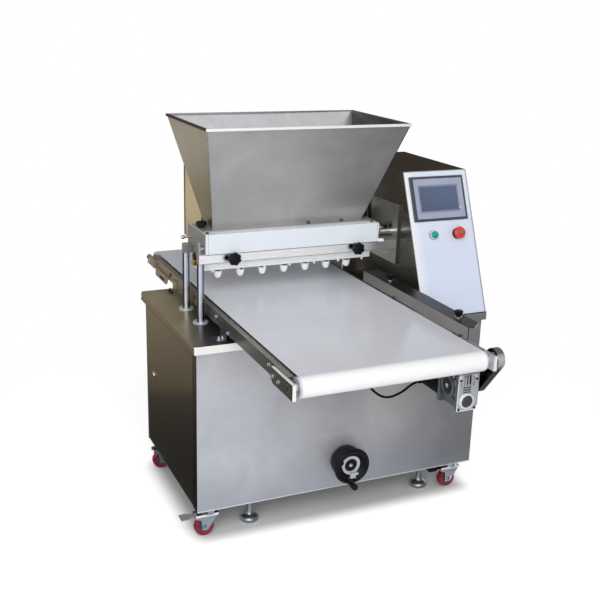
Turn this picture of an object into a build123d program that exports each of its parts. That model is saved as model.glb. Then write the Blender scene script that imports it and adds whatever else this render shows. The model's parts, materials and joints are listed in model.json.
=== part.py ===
"""Batter depositor on casters: cabinet, belt conveyor, lifting head with hopper, and control tower.

Millimetres, +Z up, +X to the right, +Y to the back. The origin is on the floor, under the middle of the
machine's whole width and of the conveyor's length.
"""

import os
from math import atan2, cos, degrees, hypot, radians, sin, tan

from build123d import *

os.makedirs("parts", exist_ok=True)

# Belt, which sets the width of the machine, and the depth of the cabinet
belt_width = 550
side_room = 450
cabinet_width = belt_width + side_room
cabinet_depth = 572

# Casters and levelling feet
caster_inset = 50
caster_x = cabinet_width / 2 - caster_inset
caster_end_inset = 41
caster_spread = cabinet_depth / 2 - caster_end_inset
wheel_r = 32
wheel_width = 24
caster_trail = 16
caster_plate = 60
fork_top = 78
axle_r = 4
pedal_reach = 78
pedal_z = 71
foot_left_inset = 201
foot_right_inset = 157
foot_end_inset = 73
foot_spread = cabinet_depth / 2 - foot_end_inset
foot_pad_r = 31
foot_rod_r = 7

# Cabinet, frame and deck
cabinet_y = 111
panel_bottom = 103
sheet = 2
deck_top = 657
deck_sheet = 3
deck_overhang = 14
cabinet_x = (caster_x + caster_trail + pedal_reach - cabinet_width / 2 - deck_overhang) / 2
lip_height = 26
deck_corner = 12
frame_tube = 35
frame_wall = 2.5
corner_strip = 41
bush_r = 22
bush_depth = 6

# Left door and its lock
door_depth = 18
door_gap = 4
door_bottom = 112
door_head_gap = 7
door_top = deck_top - lip_height - door_head_gap
hinge_inset = 6
hinge_pin_r = 3
lug_thickness = 7
lock_y = 310
lock_z = 382
lock_r = 9
cam_length = 42
cam_width = 16

# Conveyor
conveyor_x = cabinet_x - 111.5
conveyor_half = 687
belt_rise = 71
belt_top = deck_top + belt_rise
belt_thickness = 2
roller_overhang = 6
roller_r = 27
roller_inset = 31
roller_y = conveyor_half - roller_inset
roller_width = belt_width + 2 * roller_overhang
shaft_r = 10
rail_gap = 19.5
rail_half = belt_width / 2 + rail_gap
rail_drop = 6
rail_top = belt_top - rail_drop
rail_height = 40
rail_end_gap = 50
rail_length = 2 * (conveyor_half - rail_end_gap)
rail_flange = 16
rail_sheet = 3
plate_thickness = 10
plate_length = 142
plate_drop = 4
plate_top = rail_top - plate_drop
plate_height = 43
plate_bottom = plate_top - plate_height
bracket_reach = 30
bracket_ys = (-150, 345)
bed_reach = roller_y - 56
bed_inset = 5
rear_end = roller_y - 72
rear_start = rear_end - 154

# Belt drive
gear_width = 78
gear_front_width = 66
gear_length = 100
gear_set_back = 73
gear_y = gear_set_back - roller_y
gear_drop = 123
gear_z = belt_top - gear_drop
gear_above = 47
gear_top = gear_z + gear_above
gear_below = 63
gear_bottom = gear_z - gear_below
worm_drop = 34
gear_shaft_r = 9
motor_r = 29
motor_length = 170
gland_set_back = 138
gland_y = gear_y + gland_set_back
gland_r = 8
gland_length = 14
sprocket_r = 19
chain_thickness = 4
chain_width = 6
guard_r = 31
guard_sheet = 2
cable_r = 3.5
cable_end_x = cabinet_x - 71
cable_end_z = 590

# Right tray guide
guide_reach = 55
guide_set_back = 112
guide_front = guide_set_back - conveyor_half
guide_back = 56
guide_rise = 38
guide_top = belt_top + guide_rise
guide_sheet = 3
guide_travel = 20
guide_knob_ys = (guide_front + 87, -85)
guide_stud_r = 4
guide_knob_r = 12
guide_knob_height = 24

# Tower and control panel
tower_gap = 82
tower_left = conveyor_x + rail_half + tower_gap
tower_overhang = 5
tower_right = cabinet_x + cabinet_width / 2 + tower_overhang
tower_height = 449
tower_top = deck_top + tower_height
tower_set_in = 3
tower_back = cabinet_y + cabinet_depth / 2 + deck_overhang - tower_set_in
tower_front = cabinet_y - cabinet_depth / 2 - deck_overhang + tower_set_in
tower_ridge = 0
panel_thickness = 3
panel_recess = 1
hmi_width = 204
hmi_height = 150
hmi_up = 392
hmi_proud = 6
hmi_case_depth = 36
screen_width = 154
screen_height = 87
button_up = 271
start_across = -38
stop_across = 53

# Head: posts, bars, slide plate and lift
head_y = 95
lift_travel = 60
post_r = 11.5
post_gap = 17
post_x = conveyor_x - rail_half - post_gap
post_spread = 75
inner_post_x = tower_left + 45
inner_post_spread = 50
guide_flange_r = 24.5
guide_flange_height = 5
guide_sleeve = 60
bar_depth = 28
bar_rise = 121
bar_bottom = belt_top + bar_rise
bar_height = 29
bar_top = bar_bottom + bar_height
bar_left = post_x - 9
bar_right = tower_left - 8
slide_thickness = 7
slide_half = 92
slide_below = 55
slide_bottom = bar_bottom - slide_below
slide_above = 144
slide_top = bar_bottom + slide_above
carrier_length = 72
carrier_half = 66
carrier_rise = 13
carrier_bottom = bar_bottom + carrier_rise
carrier_height = 66
carrier_top = carrier_bottom + carrier_height
window_half = 70
window_margin = 4
window_bottom = carrier_bottom - window_margin
window_top = carrier_top + lift_travel + window_margin
yoke_drop = 177
yoke_top = deck_top - yoke_drop
yoke_height = 40
yoke_bottom = yoke_top - yoke_height
screw_r = 12
screw_end = 35
screw_top = yoke_top + lift_travel + screw_end
lift_x = cabinet_x
lift_z = 205
bevel_far = 32
bevel_near = 18
bevel_box_half = 46
bevel_box_front = 58

# Handwheel
handwheel_r = 54
handwheel_rim = 8
handwheel_stand_off = 65
handle_side = 15
handle_x = lift_x - handle_side
handle_drop = 46
handle_z = lift_z - handle_drop
handle_r = 9
handle_length = 52

# Manifold, valve, pistons, nozzles and hopper
manifold_extra = 49
manifold_length = belt_width + manifold_extra
manifold_depth = 180
manifold_height = 63
manifold_top = bar_top + manifold_height
end_wall = 8
stem_depth = 70
stem_drop = 9
stem_bottom = bar_bottom - stem_drop
nozzle_bar_height = 28
nozzle_bar_bottom = stem_bottom - nozzle_bar_height
nozzle_length = 35
nozzle_tip = nozzle_bar_bottom - nozzle_length
nozzle_pitch = 76.5
nozzle_count = 7
valve_rise = 19
valve_z = bar_top + valve_rise
valve_r = 16
valve_shaft_r = 9
coupling_r = 26
piston_r = 15
piston_length = 50
piston_rod_r = 4
piston_stroke = 40
push_bar_y = 230
push_bar_depth = 20
cylinder_x = 180
cylinder_y = 300
cylinder_length = 100
cylinder_r = 25
cylinder_rod_r = 8
housing_left = post_x + 69
housing_front = 222
housing_gap = 3
hopper_rim_width = 670
hopper_rim_depth = 408
hopper_height = 335
hopper_rim_top = manifold_top + hopper_height
hopper_rim_height = 8
hopper_rim_fold = 5
hopper_foot_width = 520
hopper_foot_depth = 80
hopper_flange = 4
foot_strip = 20
foot_tab = 35
clamp_reach = 24
wing_set = 58
wing_rise = 12
wing_length = 40
loop_set = 40
loop_drop = 8
loop_r = 13
loop_wire = 4
brass_height = 19
star_left_inset = 110
star_right_inset = 149
star_xs = (bar_left + star_left_inset, bar_right - star_right_inset)
star_rise = 14
star_z = bar_bottom + star_rise
star_r = 20
star_stud_r = 5

# Clearances
running = 0.05
seam = 0.1
gap = 0.3
free = 1

# Places that follow from the sizes
x_left = cabinet_x - cabinet_width / 2
x_right = cabinet_x + cabinet_width / 2
y_front = cabinet_y - cabinet_depth / 2
y_back = cabinet_y + cabinet_depth / 2
deck_under = deck_top - deck_sheet
frame_left = x_left + door_depth + door_gap
frame_right = x_right - sheet
frame_front = y_front + sheet
frame_back = y_back - sheet
frame_bottom = panel_bottom + sheet
door_front = y_front + corner_strip + door_gap
door_back = y_back - door_gap
hinge_x = x_left + hinge_inset
hinge_y = door_front + hinge_inset
roller_z = belt_top - belt_thickness - gap - roller_r
belt_r = roller_r + gap + belt_thickness
rail_left = conveyor_x - rail_half
rail_right = conveyor_x + rail_half
rail_bottom = rail_top - rail_height
gear_right = rail_right + 4
gear_left = gear_right - gear_width
gear_x = gear_left + gear_front_width / 2
worm_z = gear_z - worm_drop
chain_x = rail_right + plate_thickness + 10
guard_left = rail_right + plate_thickness + 4
guard_right = guard_left + 24
guide_x = conveyor_x + belt_width / 2 + 3.5
guide_stud_x = rail_right + 8
tower_x = (tower_left + tower_right) / 2
panel_tilt = atan2(tower_ridge - tower_front, tower_top - deck_top)
panel_length = hypot(tower_ridge - tower_front, tower_top - deck_top)
panel_normal = (0, -cos(panel_tilt), sin(panel_tilt))
panel_plane = Plane(origin=(tower_x, tower_front, deck_top), x_dir=(1, 0, 0), z_dir=panel_normal)
face_plane = panel_plane.offset(-panel_recess)
manifold_left = conveyor_x - manifold_length / 2
manifold_right = conveyor_x + manifold_length / 2
post_ys = (head_y - post_spread, head_y + post_spread)
inner_post_ys = (head_y - inner_post_spread, head_y + inner_post_spread)
manifold_front = head_y - manifold_depth / 2
manifold_back = head_y + manifold_depth / 2
lane_xs = [conveyor_x + (i - (nozzle_count - 1) / 2) * nozzle_pitch for i in range(nozzle_count)]
piston_front = head_y + valve_r + 7
handwheel_y = y_front - handwheel_stand_off


def block(x0, x1, y0, y1, z0, z1, mode=Mode.ADD):
    """A box between two corners."""
    with Locations(((x0 + x1) / 2, (y0 + y1) / 2, (z0 + z1) / 2)):
        Box(x1 - x0, y1 - y0, z1 - z0, mode=mode)


def rod_x(r, x0, x1, y, z, mode=Mode.ADD):
    """A round bar along X."""
    with Locations(Location(((x0 + x1) / 2, y, z), (0, 90, 0))):
        Cylinder(r, x1 - x0, mode=mode)


def rod_y(r, x, y0, y1, z, mode=Mode.ADD):
    """A round bar along Y."""
    with Locations(Location((x, (y0 + y1) / 2, z), (90, 0, 0))):
        Cylinder(r, y1 - y0, mode=mode)


def rod_z(r, x, y, z0, z1, mode=Mode.ADD):
    """A round bar along Z."""
    with Locations((x, y, (z0 + z1) / 2)):
        Cylinder(r, z1 - z0, mode=mode)


# Base frame: square tubes, floor sheet, caster plates, hinge lugs and the lock's strike
with BuildPart() as base_frame:
    post_places = [
        (x, y)
        for x in (frame_left + frame_tube / 2, frame_right - frame_tube / 2)
        for y in (frame_front + frame_tube / 2, frame_back - frame_tube / 2)
    ]
    with BuildSketch(Plane.XY.offset(frame_bottom)):
        with Locations(*post_places):
            Rectangle(frame_tube, frame_tube)
            Rectangle(frame_tube - 2 * frame_wall, frame_tube - 2 * frame_wall, mode=Mode.SUBTRACT)
    extrude(amount=deck_under - frame_bottom)
    rail_zs = (frame_bottom + frame_tube / 2, deck_under - frame_tube / 2)
    long_places = [
        (y, z)
        for y in (frame_front + frame_tube / 2, frame_back - frame_tube / 2)
        for z in rail_zs
    ]
    with BuildSketch(Plane.YZ.offset(frame_left + frame_tube)):
        with Locations(*long_places, (head_y, rail_zs[0])):
            Rectangle(frame_tube, frame_tube)
            Rectangle(frame_tube - 2 * frame_wall, frame_tube - 2 * frame_wall, mode=Mode.SUBTRACT)
    extrude(amount=frame_right - frame_left - 2 * frame_tube)
    side_places = [
        (x, z)
        for x in (frame_left + frame_tube / 2, frame_right - frame_tube / 2)
        for z in rail_zs
    ]
    with BuildSketch(Plane.XZ.offset(-(frame_front + frame_tube))):
        with Locations(*side_places):
            Rectangle(frame_tube, frame_tube)
            Rectangle(frame_tube - 2 * frame_wall, frame_tube - 2 * frame_wall, mode=Mode.SUBTRACT)
    extrude(amount=-(frame_back - frame_front - 2 * frame_tube))
    block(x_left + sheet, frame_right, frame_front, frame_back, panel_bottom, frame_bottom)
    caster_places = [
        (x, y) for x in (cabinet_x - caster_x, cabinet_x + caster_x) for y in (
            cabinet_y - caster_spread, cabinet_y + caster_spread,
        )
    ]
    for x, y in caster_places:
        block(
            x - caster_plate / 2, x + caster_plate / 2, y - caster_plate / 2, y + caster_plate / 2,
            panel_bottom - 3, panel_bottom,
        )
        rod_z(axle_r + 2 + running, x, y, panel_bottom - 3, panel_bottom, mode=Mode.SUBTRACT)
    for z in (door_bottom - free - lug_thickness, door_top + free):
        block(
            x_left + sheet, frame_left + 10, frame_front + frame_tube - 2, hinge_y + 10, z,
            z + lug_thickness,
        )
        rod_z(hinge_pin_r + running, hinge_x, hinge_y, z, z + lug_thickness, mode=Mode.SUBTRACT)
    block(
        frame_left, frame_left + sheet, lock_y + 22, frame_back - frame_tube + 1,
        lock_z - cam_width * 2, lock_z + cam_width * 2,
    )

base_frame.part.label = "base_frame"
export_step(base_frame.part, "parts/base_frame.step")

# Cabinet shell: front, right and rear sheet, with the corner strip beside the door and the handwheel bush
with BuildPart() as cabinet_shell:
    with BuildSketch(Plane.XY.offset(panel_bottom)):
        with Locations((cabinet_x, cabinet_y)):
            Rectangle(cabinet_width, cabinet_depth)
            Rectangle(cabinet_width - 2 * sheet, cabinet_depth - 2 * sheet, mode=Mode.SUBTRACT)
        opening = frame_back - (y_front + corner_strip)
        with Locations((x_left, y_front + corner_strip + opening / 2)):
            Rectangle(4 * sheet, opening, mode=Mode.SUBTRACT)
    extrude(amount=deck_under - panel_bottom)
    rod_y(bush_r, lift_x, y_front - bush_depth, y_front + sheet, lift_z)
    fillet(cabinet_shell.edges().filter_by(GeomType.CIRCLE).sort_by(Axis.Y)[0], 2)
    rod_y(shaft_r + running, lift_x, y_front - bush_depth, y_front + sheet, lift_z, mode=Mode.SUBTRACT)
    rod_y(gland_r, cable_end_x, y_front - gland_length, y_front + sheet, cable_end_z)
    rod_y(
        cable_r + running, cable_end_x, y_front - gland_length, y_front - 2, cable_end_z,
        mode=Mode.SUBTRACT,
    )

cabinet_shell.part.label = "cabinet_shell"
export_step(cabinet_shell.part, "parts/cabinet_shell.step")

# Deck plate with turned-down lips and the holes for the four posts' guides
with BuildPart() as deck:
    with BuildSketch(Plane.XY.offset(deck_top - lip_height)):
        with Locations((cabinet_x, cabinet_y)):
            RectangleRounded(
                cabinet_width + 2 * deck_overhang, cabinet_depth + 2 * deck_overhang, deck_corner,
            )
    extrude(amount=lip_height)
    fillet(deck.faces().sort_by(Axis.Z)[-1].edges(), 4)
    with BuildSketch(Plane.XY.offset(deck_top - lip_height)):
        with Locations((cabinet_x, cabinet_y)):
            RectangleRounded(
                cabinet_width + 2 * deck_overhang - 2 * sheet,
                cabinet_depth + 2 * deck_overhang - 2 * sheet,
                deck_corner - sheet,
            )
    extrude(amount=lip_height - deck_sheet, mode=Mode.SUBTRACT)
    for y in post_ys:
        rod_z(post_r + 3.5, post_x, y, deck_under, deck_top, mode=Mode.SUBTRACT)
    for y in inner_post_ys:
        rod_z(post_r + 3.5, inner_post_x, y, deck_under, deck_top, mode=Mode.SUBTRACT)

deck.part.label = "deck"
export_step(deck.part, "parts/deck.step")

# Post guides: a flange on the deck with a bearing sleeve under it, for each of the four posts
with BuildPart() as post_guides:
    guide_places = [(post_x, y) for y in post_ys] + [(inner_post_x, y) for y in inner_post_ys]
    with BuildSketch(Plane.XY.offset(deck_top)):
        with Locations(*guide_places):
            Circle(guide_flange_r)
    extrude(amount=guide_flange_height)
    fillet(post_guides.edges().group_by(Axis.Z)[-1], 2)
    with BuildSketch(Plane.XY.offset(deck_top)):
        with Locations(*guide_places):
            Circle(post_r + 3.5)
    extrude(amount=-guide_sleeve)
    with Locations(*[(x, y, deck_top + guide_flange_height) for x, y in guide_places]):
        Hole(post_r + running, depth=guide_sleeve + guide_flange_height)

post_guides.part.label = "post_guides"
export_step(post_guides.part, "parts/post_guides.step")

# Levelling feet: pad, rod and lock nut, under the four long sides
with BuildPart() as levelling_feet:
    foot_places = [
        (x, y) for x in (x_left + foot_left_inset, x_right - foot_right_inset) for y in (
            cabinet_y - foot_spread, cabinet_y + foot_spread,
        )
    ]
    for x, y in foot_places:
        rod_z(foot_pad_r, x, y, 0, 11)
        with Locations((x, y, 17)):
            Cone(foot_pad_r - 3, foot_rod_r + 4, 12)
        rod_z(foot_rod_r, x, y, 20, panel_bottom)
        with BuildSketch(Plane.XY.offset(panel_bottom - 15)):
            with Locations((x, y)):
                RegularPolygon(foot_rod_r + 5, 6)
        extrude(amount=10)

levelling_feet.part.label = "levelling_feet"
export_step(levelling_feet.part, "parts/levelling_feet.step")

# Left door: a folded pan that turns on two pins in the frame's lugs
with BuildPart() as door:
    block(x_left, x_left + door_depth, door_front, door_back, door_bottom, door_top)
    fillet(door.edges().filter_by(Axis.Z).group_by(Axis.X)[0], 3)
    block(
        x_left + sheet, x_left + door_depth, door_front + sheet, door_back - sheet,
        door_bottom + sheet, door_top - sheet, mode=Mode.SUBTRACT,
    )
    rod_x(lock_r + running, x_left, x_left + sheet, lock_y, lock_z, mode=Mode.SUBTRACT)
    rod_z(hinge_pin_r, hinge_x, hinge_y, door_bottom - free - lug_thickness + free, door_bottom + sheet)
    rod_z(hinge_pin_r, hinge_x, hinge_y, door_top - sheet, door_top + lug_thickness)

door.part.label = "door"
export_step(door.part, "parts/door.step")

# Quarter-turn lock: outer head with a key slot, barrel and cam; the cam stands up when the door is free
with BuildPart() as door_lock:
    rod_x(lock_r + 3, x_left - 4, x_left - gap, lock_y, lock_z)
    rod_x(lock_r, x_left - gap, frame_left + 4, lock_y, lock_z)
    block(
        frame_left + 4, frame_left + 7, lock_y - cam_width / 2, lock_y + cam_width / 2,
        lock_z - cam_width / 2, lock_z + cam_length,
    )
    block(x_left - 4, x_left - 2, lock_y - 1, lock_y + 1, lock_z - 6, lock_z + 6, mode=Mode.SUBTRACT)

door_lock.part.label = "door_lock"
export_step(door_lock.part, "parts/door_lock.step")


# Casters: fork with kingpin and axle, and wheel, for each corner, with a brake pedal on the front two
def make_caster(x, y, place):
    """Writes the pieces of one caster, which trails to the left of its kingpin; the front ones have a brake."""
    axle_x = x - caster_trail
    leg = wheel_width / 2 + 3.5
    race_top = panel_bottom - 3 - gap
    pivot_x = axle_x - 25
    with BuildPart() as fork:
        for side in (-1, 1):
            with BuildSketch(Plane.XZ.offset(-(y + side * leg - 1.5))):
                with BuildLine():
                    Polyline(
                        (axle_x - 9, wheel_r - 9), (axle_x + 9, wheel_r - 9), (axle_x + 45, fork_top),
                        (axle_x - 31, fork_top), (axle_x - 31, fork_top - 13), (
                            axle_x - 14, fork_top - 18,
                        ),
                        (axle_x - 11, wheel_r + 12), close=True,
                    )
                make_face()
            extrude(amount=-3)
        block(axle_x - 15, axle_x + 45, y - leg - 1.5, y + leg + 1.5, fork_top - 3, fork_top)
        rod_z(23, x, y, fork_top - 1, race_top)
        rod_z(axle_r + 2, x, y, race_top, panel_bottom - gap)
        rod_y(axle_r, axle_x, y - leg - 4, y + leg + 4, wheel_r)
        if "front" in place:
            rod_y(2.5 + running, pivot_x, y - leg - 4, y + leg + 4, pedal_z, mode=Mode.SUBTRACT)
    fork.part.label = f"caster_fork_{place}"
    export_step(fork.part, f"parts/caster_fork_{place}.step")

    with BuildPart() as wheel:
        rod_y(wheel_r, axle_x, y - wheel_width / 2, y + wheel_width / 2, wheel_r)
        fillet(wheel.edges().filter_by(GeomType.CIRCLE), 5)
        for side in (-1, 1):
            rod_y(
                20, axle_x, y + side * wheel_width / 2 - 3, y + side * wheel_width / 2 + 3, wheel_r,
                mode=Mode.SUBTRACT,
            )
        rod_y(9, axle_x, y - wheel_width / 2, y + wheel_width / 2, wheel_r)
        rod_y(
            axle_r + running, axle_x, y - wheel_width / 2, y + wheel_width / 2, wheel_r,
            mode=Mode.SUBTRACT,
        )
    wheel.part.label = f"caster_wheel_{place}"
    export_step(wheel.part, f"parts/caster_wheel_{place}.step")

    if "front" not in place:
        return
    with BuildPart() as pedal:
        rod_y(2.5, pivot_x, y - leg - 2, y + leg + 2, pedal_z)
        rod_y(5, pivot_x, y - 11, y + 11, pedal_z)
        tip = axle_x - pedal_reach
        with BuildSketch(Plane.XY.offset(pedal_z)):
            with BuildLine():
                Polyline(
                    (pivot_x, y - 10), (pivot_x, y + 10), (pivot_x - 14, y + 10), (tip + 22, y + 18), (
                        tip, y + 18,
                    ),
                    (tip, y - 18), (tip + 22, y - 18), (pivot_x - 14, y - 10), close=True,
                )
            make_face()
        extrude(amount=3)
    pedal.part.label = f"caster_pedal_{place}"
    export_step(pedal.part, f"parts/caster_pedal_{place}.step")


caster_names = ("rear_right", "front_right", "rear_left", "front_left")
for place in caster_names:
    make_caster(
        cabinet_x + (caster_x if "right" in place else -caster_x),
        cabinet_y + (caster_spread if "rear" in place else -caster_spread),
        place,
    )

# Conveyor rails: two channels with a top flange towards the belt
with BuildPart() as conveyor_rails:
    for outer, inward in ((rail_left, 1), (rail_right, -1)):
        with BuildSketch(Plane.XZ.offset(rail_length / 2)):
            with BuildLine():
                Polyline(
                    (outer, rail_bottom), (outer, rail_top), (outer + inward * rail_flange, rail_top),
                    (outer + inward * rail_flange, rail_top - rail_sheet), (
                        outer + inward * rail_sheet, rail_top - rail_sheet,
                    ),
                    (outer + inward * rail_sheet, rail_bottom + rail_sheet), (
                        outer + inward * 12, rail_bottom + rail_sheet,
                    ),
                    (outer + inward * 12, rail_bottom), close=True,
                )
            make_face()
        extrude(amount=-rail_length)

conveyor_rails.part.label = "conveyor_rails"
export_step(conveyor_rails.part, "parts/conveyor_rails.step")

# Slider bed under the belt, on four cross bars between the rails
with BuildPart() as slider_bed:
    bed_top = belt_top - belt_thickness - gap
    bed_half = belt_width / 2 - bed_inset
    block(conveyor_x - bed_half, conveyor_x + bed_half, -bed_reach, bed_reach, bed_top - rail_sheet, bed_top)
    for y in (-0.8 * bed_reach, -0.25 * bed_reach, 0.25 * bed_reach, 0.8 * bed_reach):
        block(
            rail_left + rail_sheet, rail_right - rail_sheet, y - 6, y + 6, rail_bottom + 8,
            rail_top - 6,
        )
        block(
            conveyor_x - bed_half, conveyor_x + bed_half, y - 6, y + 6, rail_top - 6,
            bed_top - rail_sheet,
        )

slider_bed.part.label = "slider_bed"
export_step(slider_bed.part, "parts/slider_bed.step")

# Bearing plates: front pair, rear take-up pair and rear side plates; the right front plate hangs the gearbox
with BuildPart() as bearing_plates:
    front = -conveyor_half
    plates = [(rail_left - plate_thickness, rail_left), (rail_right, rail_right + plate_thickness)]
    for x0, x1 in plates:
        with BuildSketch(Plane.YZ.offset(x0)):
            with BuildLine():
                Polyline(
                    (front, plate_bottom), (front, plate_top), (front + plate_length, plate_top),
                    (front + plate_length, plate_bottom + 12),
                    (front + plate_length - 12, plate_bottom), close=True,
                )
            make_face()
            with Locations((-roller_y, roller_z)):
                Circle(shaft_r + running, mode=Mode.SUBTRACT)
        extrude(amount=plate_thickness)
        block(x0, x1, roller_y - 70, roller_y + 20, roller_z - 15, roller_z + 17)
        rod_x(shaft_r + running, x0, x1, roller_y, roller_z, mode=Mode.SUBTRACT)
    for x0, x1 in ((rail_left - 6, rail_left), (rail_right, rail_right + 6)):
        with BuildSketch(Plane.YZ.offset(x0)):
            with BuildLine():
                Polyline(
                    (rear_start, rail_bottom + 10), (rear_start + 22, deck_top + 3),
                    (rear_end, deck_top + 3), (rear_end, rail_bottom + 10), close=True,
                )
            make_face()
            with Locations((rear_start + 70, deck_top + 14)):
                SlotOverall(60, 8, mode=Mode.SUBTRACT)
        extrude(amount=x1 - x0)
    block(
        gear_right, rail_right + plate_thickness, gear_y - 22, gear_y + gear_length / 2 - 2,
        gear_bottom + 18, plate_bottom + 1,
    )
    rod_x(gear_shaft_r + 8, gear_right, rail_right + plate_thickness, gear_y, gear_z, mode=Mode.SUBTRACT)

bearing_plates.part.label = "bearing_plates"
export_step(bearing_plates.part, "parts/bearing_plates.step")

# Brackets: four feet from the rails to the deck, and two that carry the tray guide
with BuildPart() as conveyor_brackets:
    for y in bracket_ys:
        for face, outward in ((rail_left, -1), (rail_right, 1)):
            x0, x1 = sorted((face, face + outward * 5))
            block(x0, x1, y - 22, y + 22, deck_top, rail_bottom + 22)
            x0, x1 = sorted((face, face + outward * bracket_reach))
            block(x0, x1, y - 22, y + 22, deck_top, deck_top + 5)
    for y in guide_knob_ys:
        block(
            rail_right, rail_right + 4, y - 12, y + 12, rail_bottom + 8, guide_top - guide_sheet - free,
        )
        block(
            rail_right, rail_right + 28, y - 12, y + 12, guide_top - guide_sheet - free - 4,
            guide_top - guide_sheet - free,
        )
        rod_z(guide_stud_r + running, guide_stud_x, y, guide_top - 12, guide_top, mode=Mode.SUBTRACT)

conveyor_brackets.part.label = "conveyor_brackets"
export_step(conveyor_brackets.part, "parts/conveyor_brackets.step")

# Belt: one closed band round both rollers
with BuildPart() as belt:
    with BuildSketch(Plane.YZ.offset(conveyor_x - belt_width / 2)):
        with Locations((0, roller_z)):
            SlotCenterToCenter(2 * roller_y, 2 * belt_r)
            SlotCenterToCenter(2 * roller_y, 2 * (roller_r + gap), mode=Mode.SUBTRACT)
    extrude(amount=belt_width)

belt.part.label = "belt"
export_step(belt.part, "parts/belt.step")

# Drive roller with its shaft and sprocket
with BuildPart() as drive_roller:
    rod_x(roller_r, conveyor_x - roller_width / 2, conveyor_x + roller_width / 2, -roller_y, roller_z)
    rod_x(shaft_r, rail_left - plate_thickness + 1, chain_x + 8, -roller_y, roller_z)
    rod_x(sprocket_r, chain_x - chain_width / 2, chain_x + chain_width / 2, -roller_y, roller_z)

drive_roller.part.label = "drive_roller"
export_step(drive_roller.part, "parts/drive_roller.step")

# Tail roller with its shaft
with BuildPart() as tail_roller:
    rod_x(roller_r, conveyor_x - roller_width / 2, conveyor_x + roller_width / 2, roller_y, roller_z)
    rod_x(shaft_r, rail_left - plate_thickness + 1, rail_right + plate_thickness - 1, roller_y, roller_z)

tail_roller.part.label = "tail_roller"
export_step(tail_roller.part, "parts/tail_roller.step")

# Worm gearbox: front cover with ribs and worm cap, body with the hollow side boss, and square motor flange
with BuildPart() as gearbox:
    gear_front = gear_y - gear_length / 2
    gear_back = gear_y + gear_length / 2
    cover_right = gear_left + gear_front_width
    block(gear_left, cover_right, gear_front, gear_front + 12, gear_bottom, gear_top)
    fillet(gearbox.edges().filter_by(Axis.Y), 8)
    block(gear_left + 9, gear_right, gear_front + 12, gear_back - 12, gear_bottom + 6, gear_top - 2)
    block(gear_left, cover_right, gear_back - 12, gear_back, gear_bottom, gear_top - 12)
    rod_x(36, gear_left + 2, gear_left + 9, gear_y, gear_z)
    rod_x(24, gear_left - 2, gear_left + 2, gear_y, gear_z)
    for i in range(5):
        x = gear_x - 20 + i * 10
        block(x - 2, x + 2, gear_front - 3, gear_front, gear_top - 36, gear_top - 6)
    rod_y(23, gear_x, gear_front - 3, gear_front, worm_z)
    rod_y(18, gear_x, gear_front - 3, gear_front - 1, worm_z, mode=Mode.SUBTRACT)
    rod_x(gear_shaft_r + running, gear_left - 2, gear_right, gear_y, gear_z, mode=Mode.SUBTRACT)

gearbox.part.label = "gearbox"
export_step(gearbox.part, "parts/gearbox.step")

# Motor: round case behind the gearbox, with end caps and the cable gland on its left side
with BuildPart() as motor:
    rod_y(motor_r + 4, gear_x, gear_back, gear_back + 8, worm_z)
    rod_y(motor_r, gear_x, gear_back + 8, gear_back + motor_length, worm_z)
    fillet(motor.edges().filter_by(GeomType.CIRCLE).sort_by(Axis.Y)[-1], 3)
    gland_x = gear_x - motor_r
    gland_z = worm_z - 5
    rod_x(gland_r, gland_x - gland_length, gland_x + 6, gland_y, gland_z)
    rod_x(cable_r + running, gland_x - gland_length, gland_x - 2, gland_y, gland_z, mode=Mode.SUBTRACT)

motor.part.label = "motor"
export_step(motor.part, "parts/motor.step")

# Motor cable: hangs in a loop under the belt and enters the front panel through a gland
with BuildPart() as motor_cable:
    cable_start = (gland_x - 4, gland_y, gland_z)
    cable_route = [
        cable_start,
        (gland_x - 32, gland_y, gland_z),
        (gland_x - 73, gland_y - 1, gland_z - 20),
        (gland_x - 117, gland_y + 1, gland_z - 29),
        (gland_x - 153, gland_y + 11, gland_z - 12),
        (gland_x - 173, gland_y + 39, gland_z + 17),
        (gland_x - 183, gland_y + 81, gland_z + 39),
        (gland_x - 186, gland_y + 128, gland_z + 46),
        (cable_end_x, y_front - 95, cable_end_z + 11),
        (cable_end_x, y_front - 47, cable_end_z),
        (cable_end_x, y_front - 5, cable_end_z),
    ]
    runs = [Vector(*b) - Vector(*a) for a, b in zip(cable_route, cable_route[1:])]
    radii = []
    for before, after in zip(runs, runs[1:]):
        half_turn = radians(before.get_angle(after)) / 2
        radii.append(0.45 * min(before.length, after.length) / tan(half_turn))
    with BuildLine() as cable_line:
        FilletPolyline(*cable_route, radius=radii)
    with BuildSketch(Plane(origin=cable_start, z_dir=(-1, 0, 0))):
        Circle(cable_r)
    sweep(path=cable_line.line)

motor_cable.part.label = "motor_cable"
export_step(motor_cable.part, "parts/motor_cable.step")

# Gearbox output shaft with its sprocket
with BuildPart() as output_sprocket:
    rod_x(gear_shaft_r, gear_left + 8, chain_x + 8, gear_y, gear_z)
    rod_x(sprocket_r, chain_x - chain_width / 2, chain_x + chain_width / 2, gear_y, gear_z)

output_sprocket.part.label = "output_sprocket"
export_step(output_sprocket.part, "parts/output_sprocket.step")

# Chain round the two sprockets, and the guard over it on two stand-offs
chain_length = hypot(gear_y + roller_y, gear_z - roller_z)
chain_angle = degrees(atan2(gear_z - roller_z, gear_y + roller_y))
chain_mid_y = (gear_y - roller_y) / 2
chain_mid_z = (gear_z + roller_z) / 2
with BuildPart() as chain:
    with BuildSketch(Plane.YZ.offset(chain_x - chain_width / 2)):
        with Locations((chain_mid_y, chain_mid_z)):
            SlotCenterToCenter(
                chain_length, 2 * (sprocket_r + gap + chain_thickness), rotation=chain_angle,
            )
            SlotCenterToCenter(
                chain_length, 2 * (sprocket_r + gap), rotation=chain_angle, mode=Mode.SUBTRACT,
            )
    extrude(amount=chain_width)

chain.part.label = "chain"
export_step(chain.part, "parts/chain.step")

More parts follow.
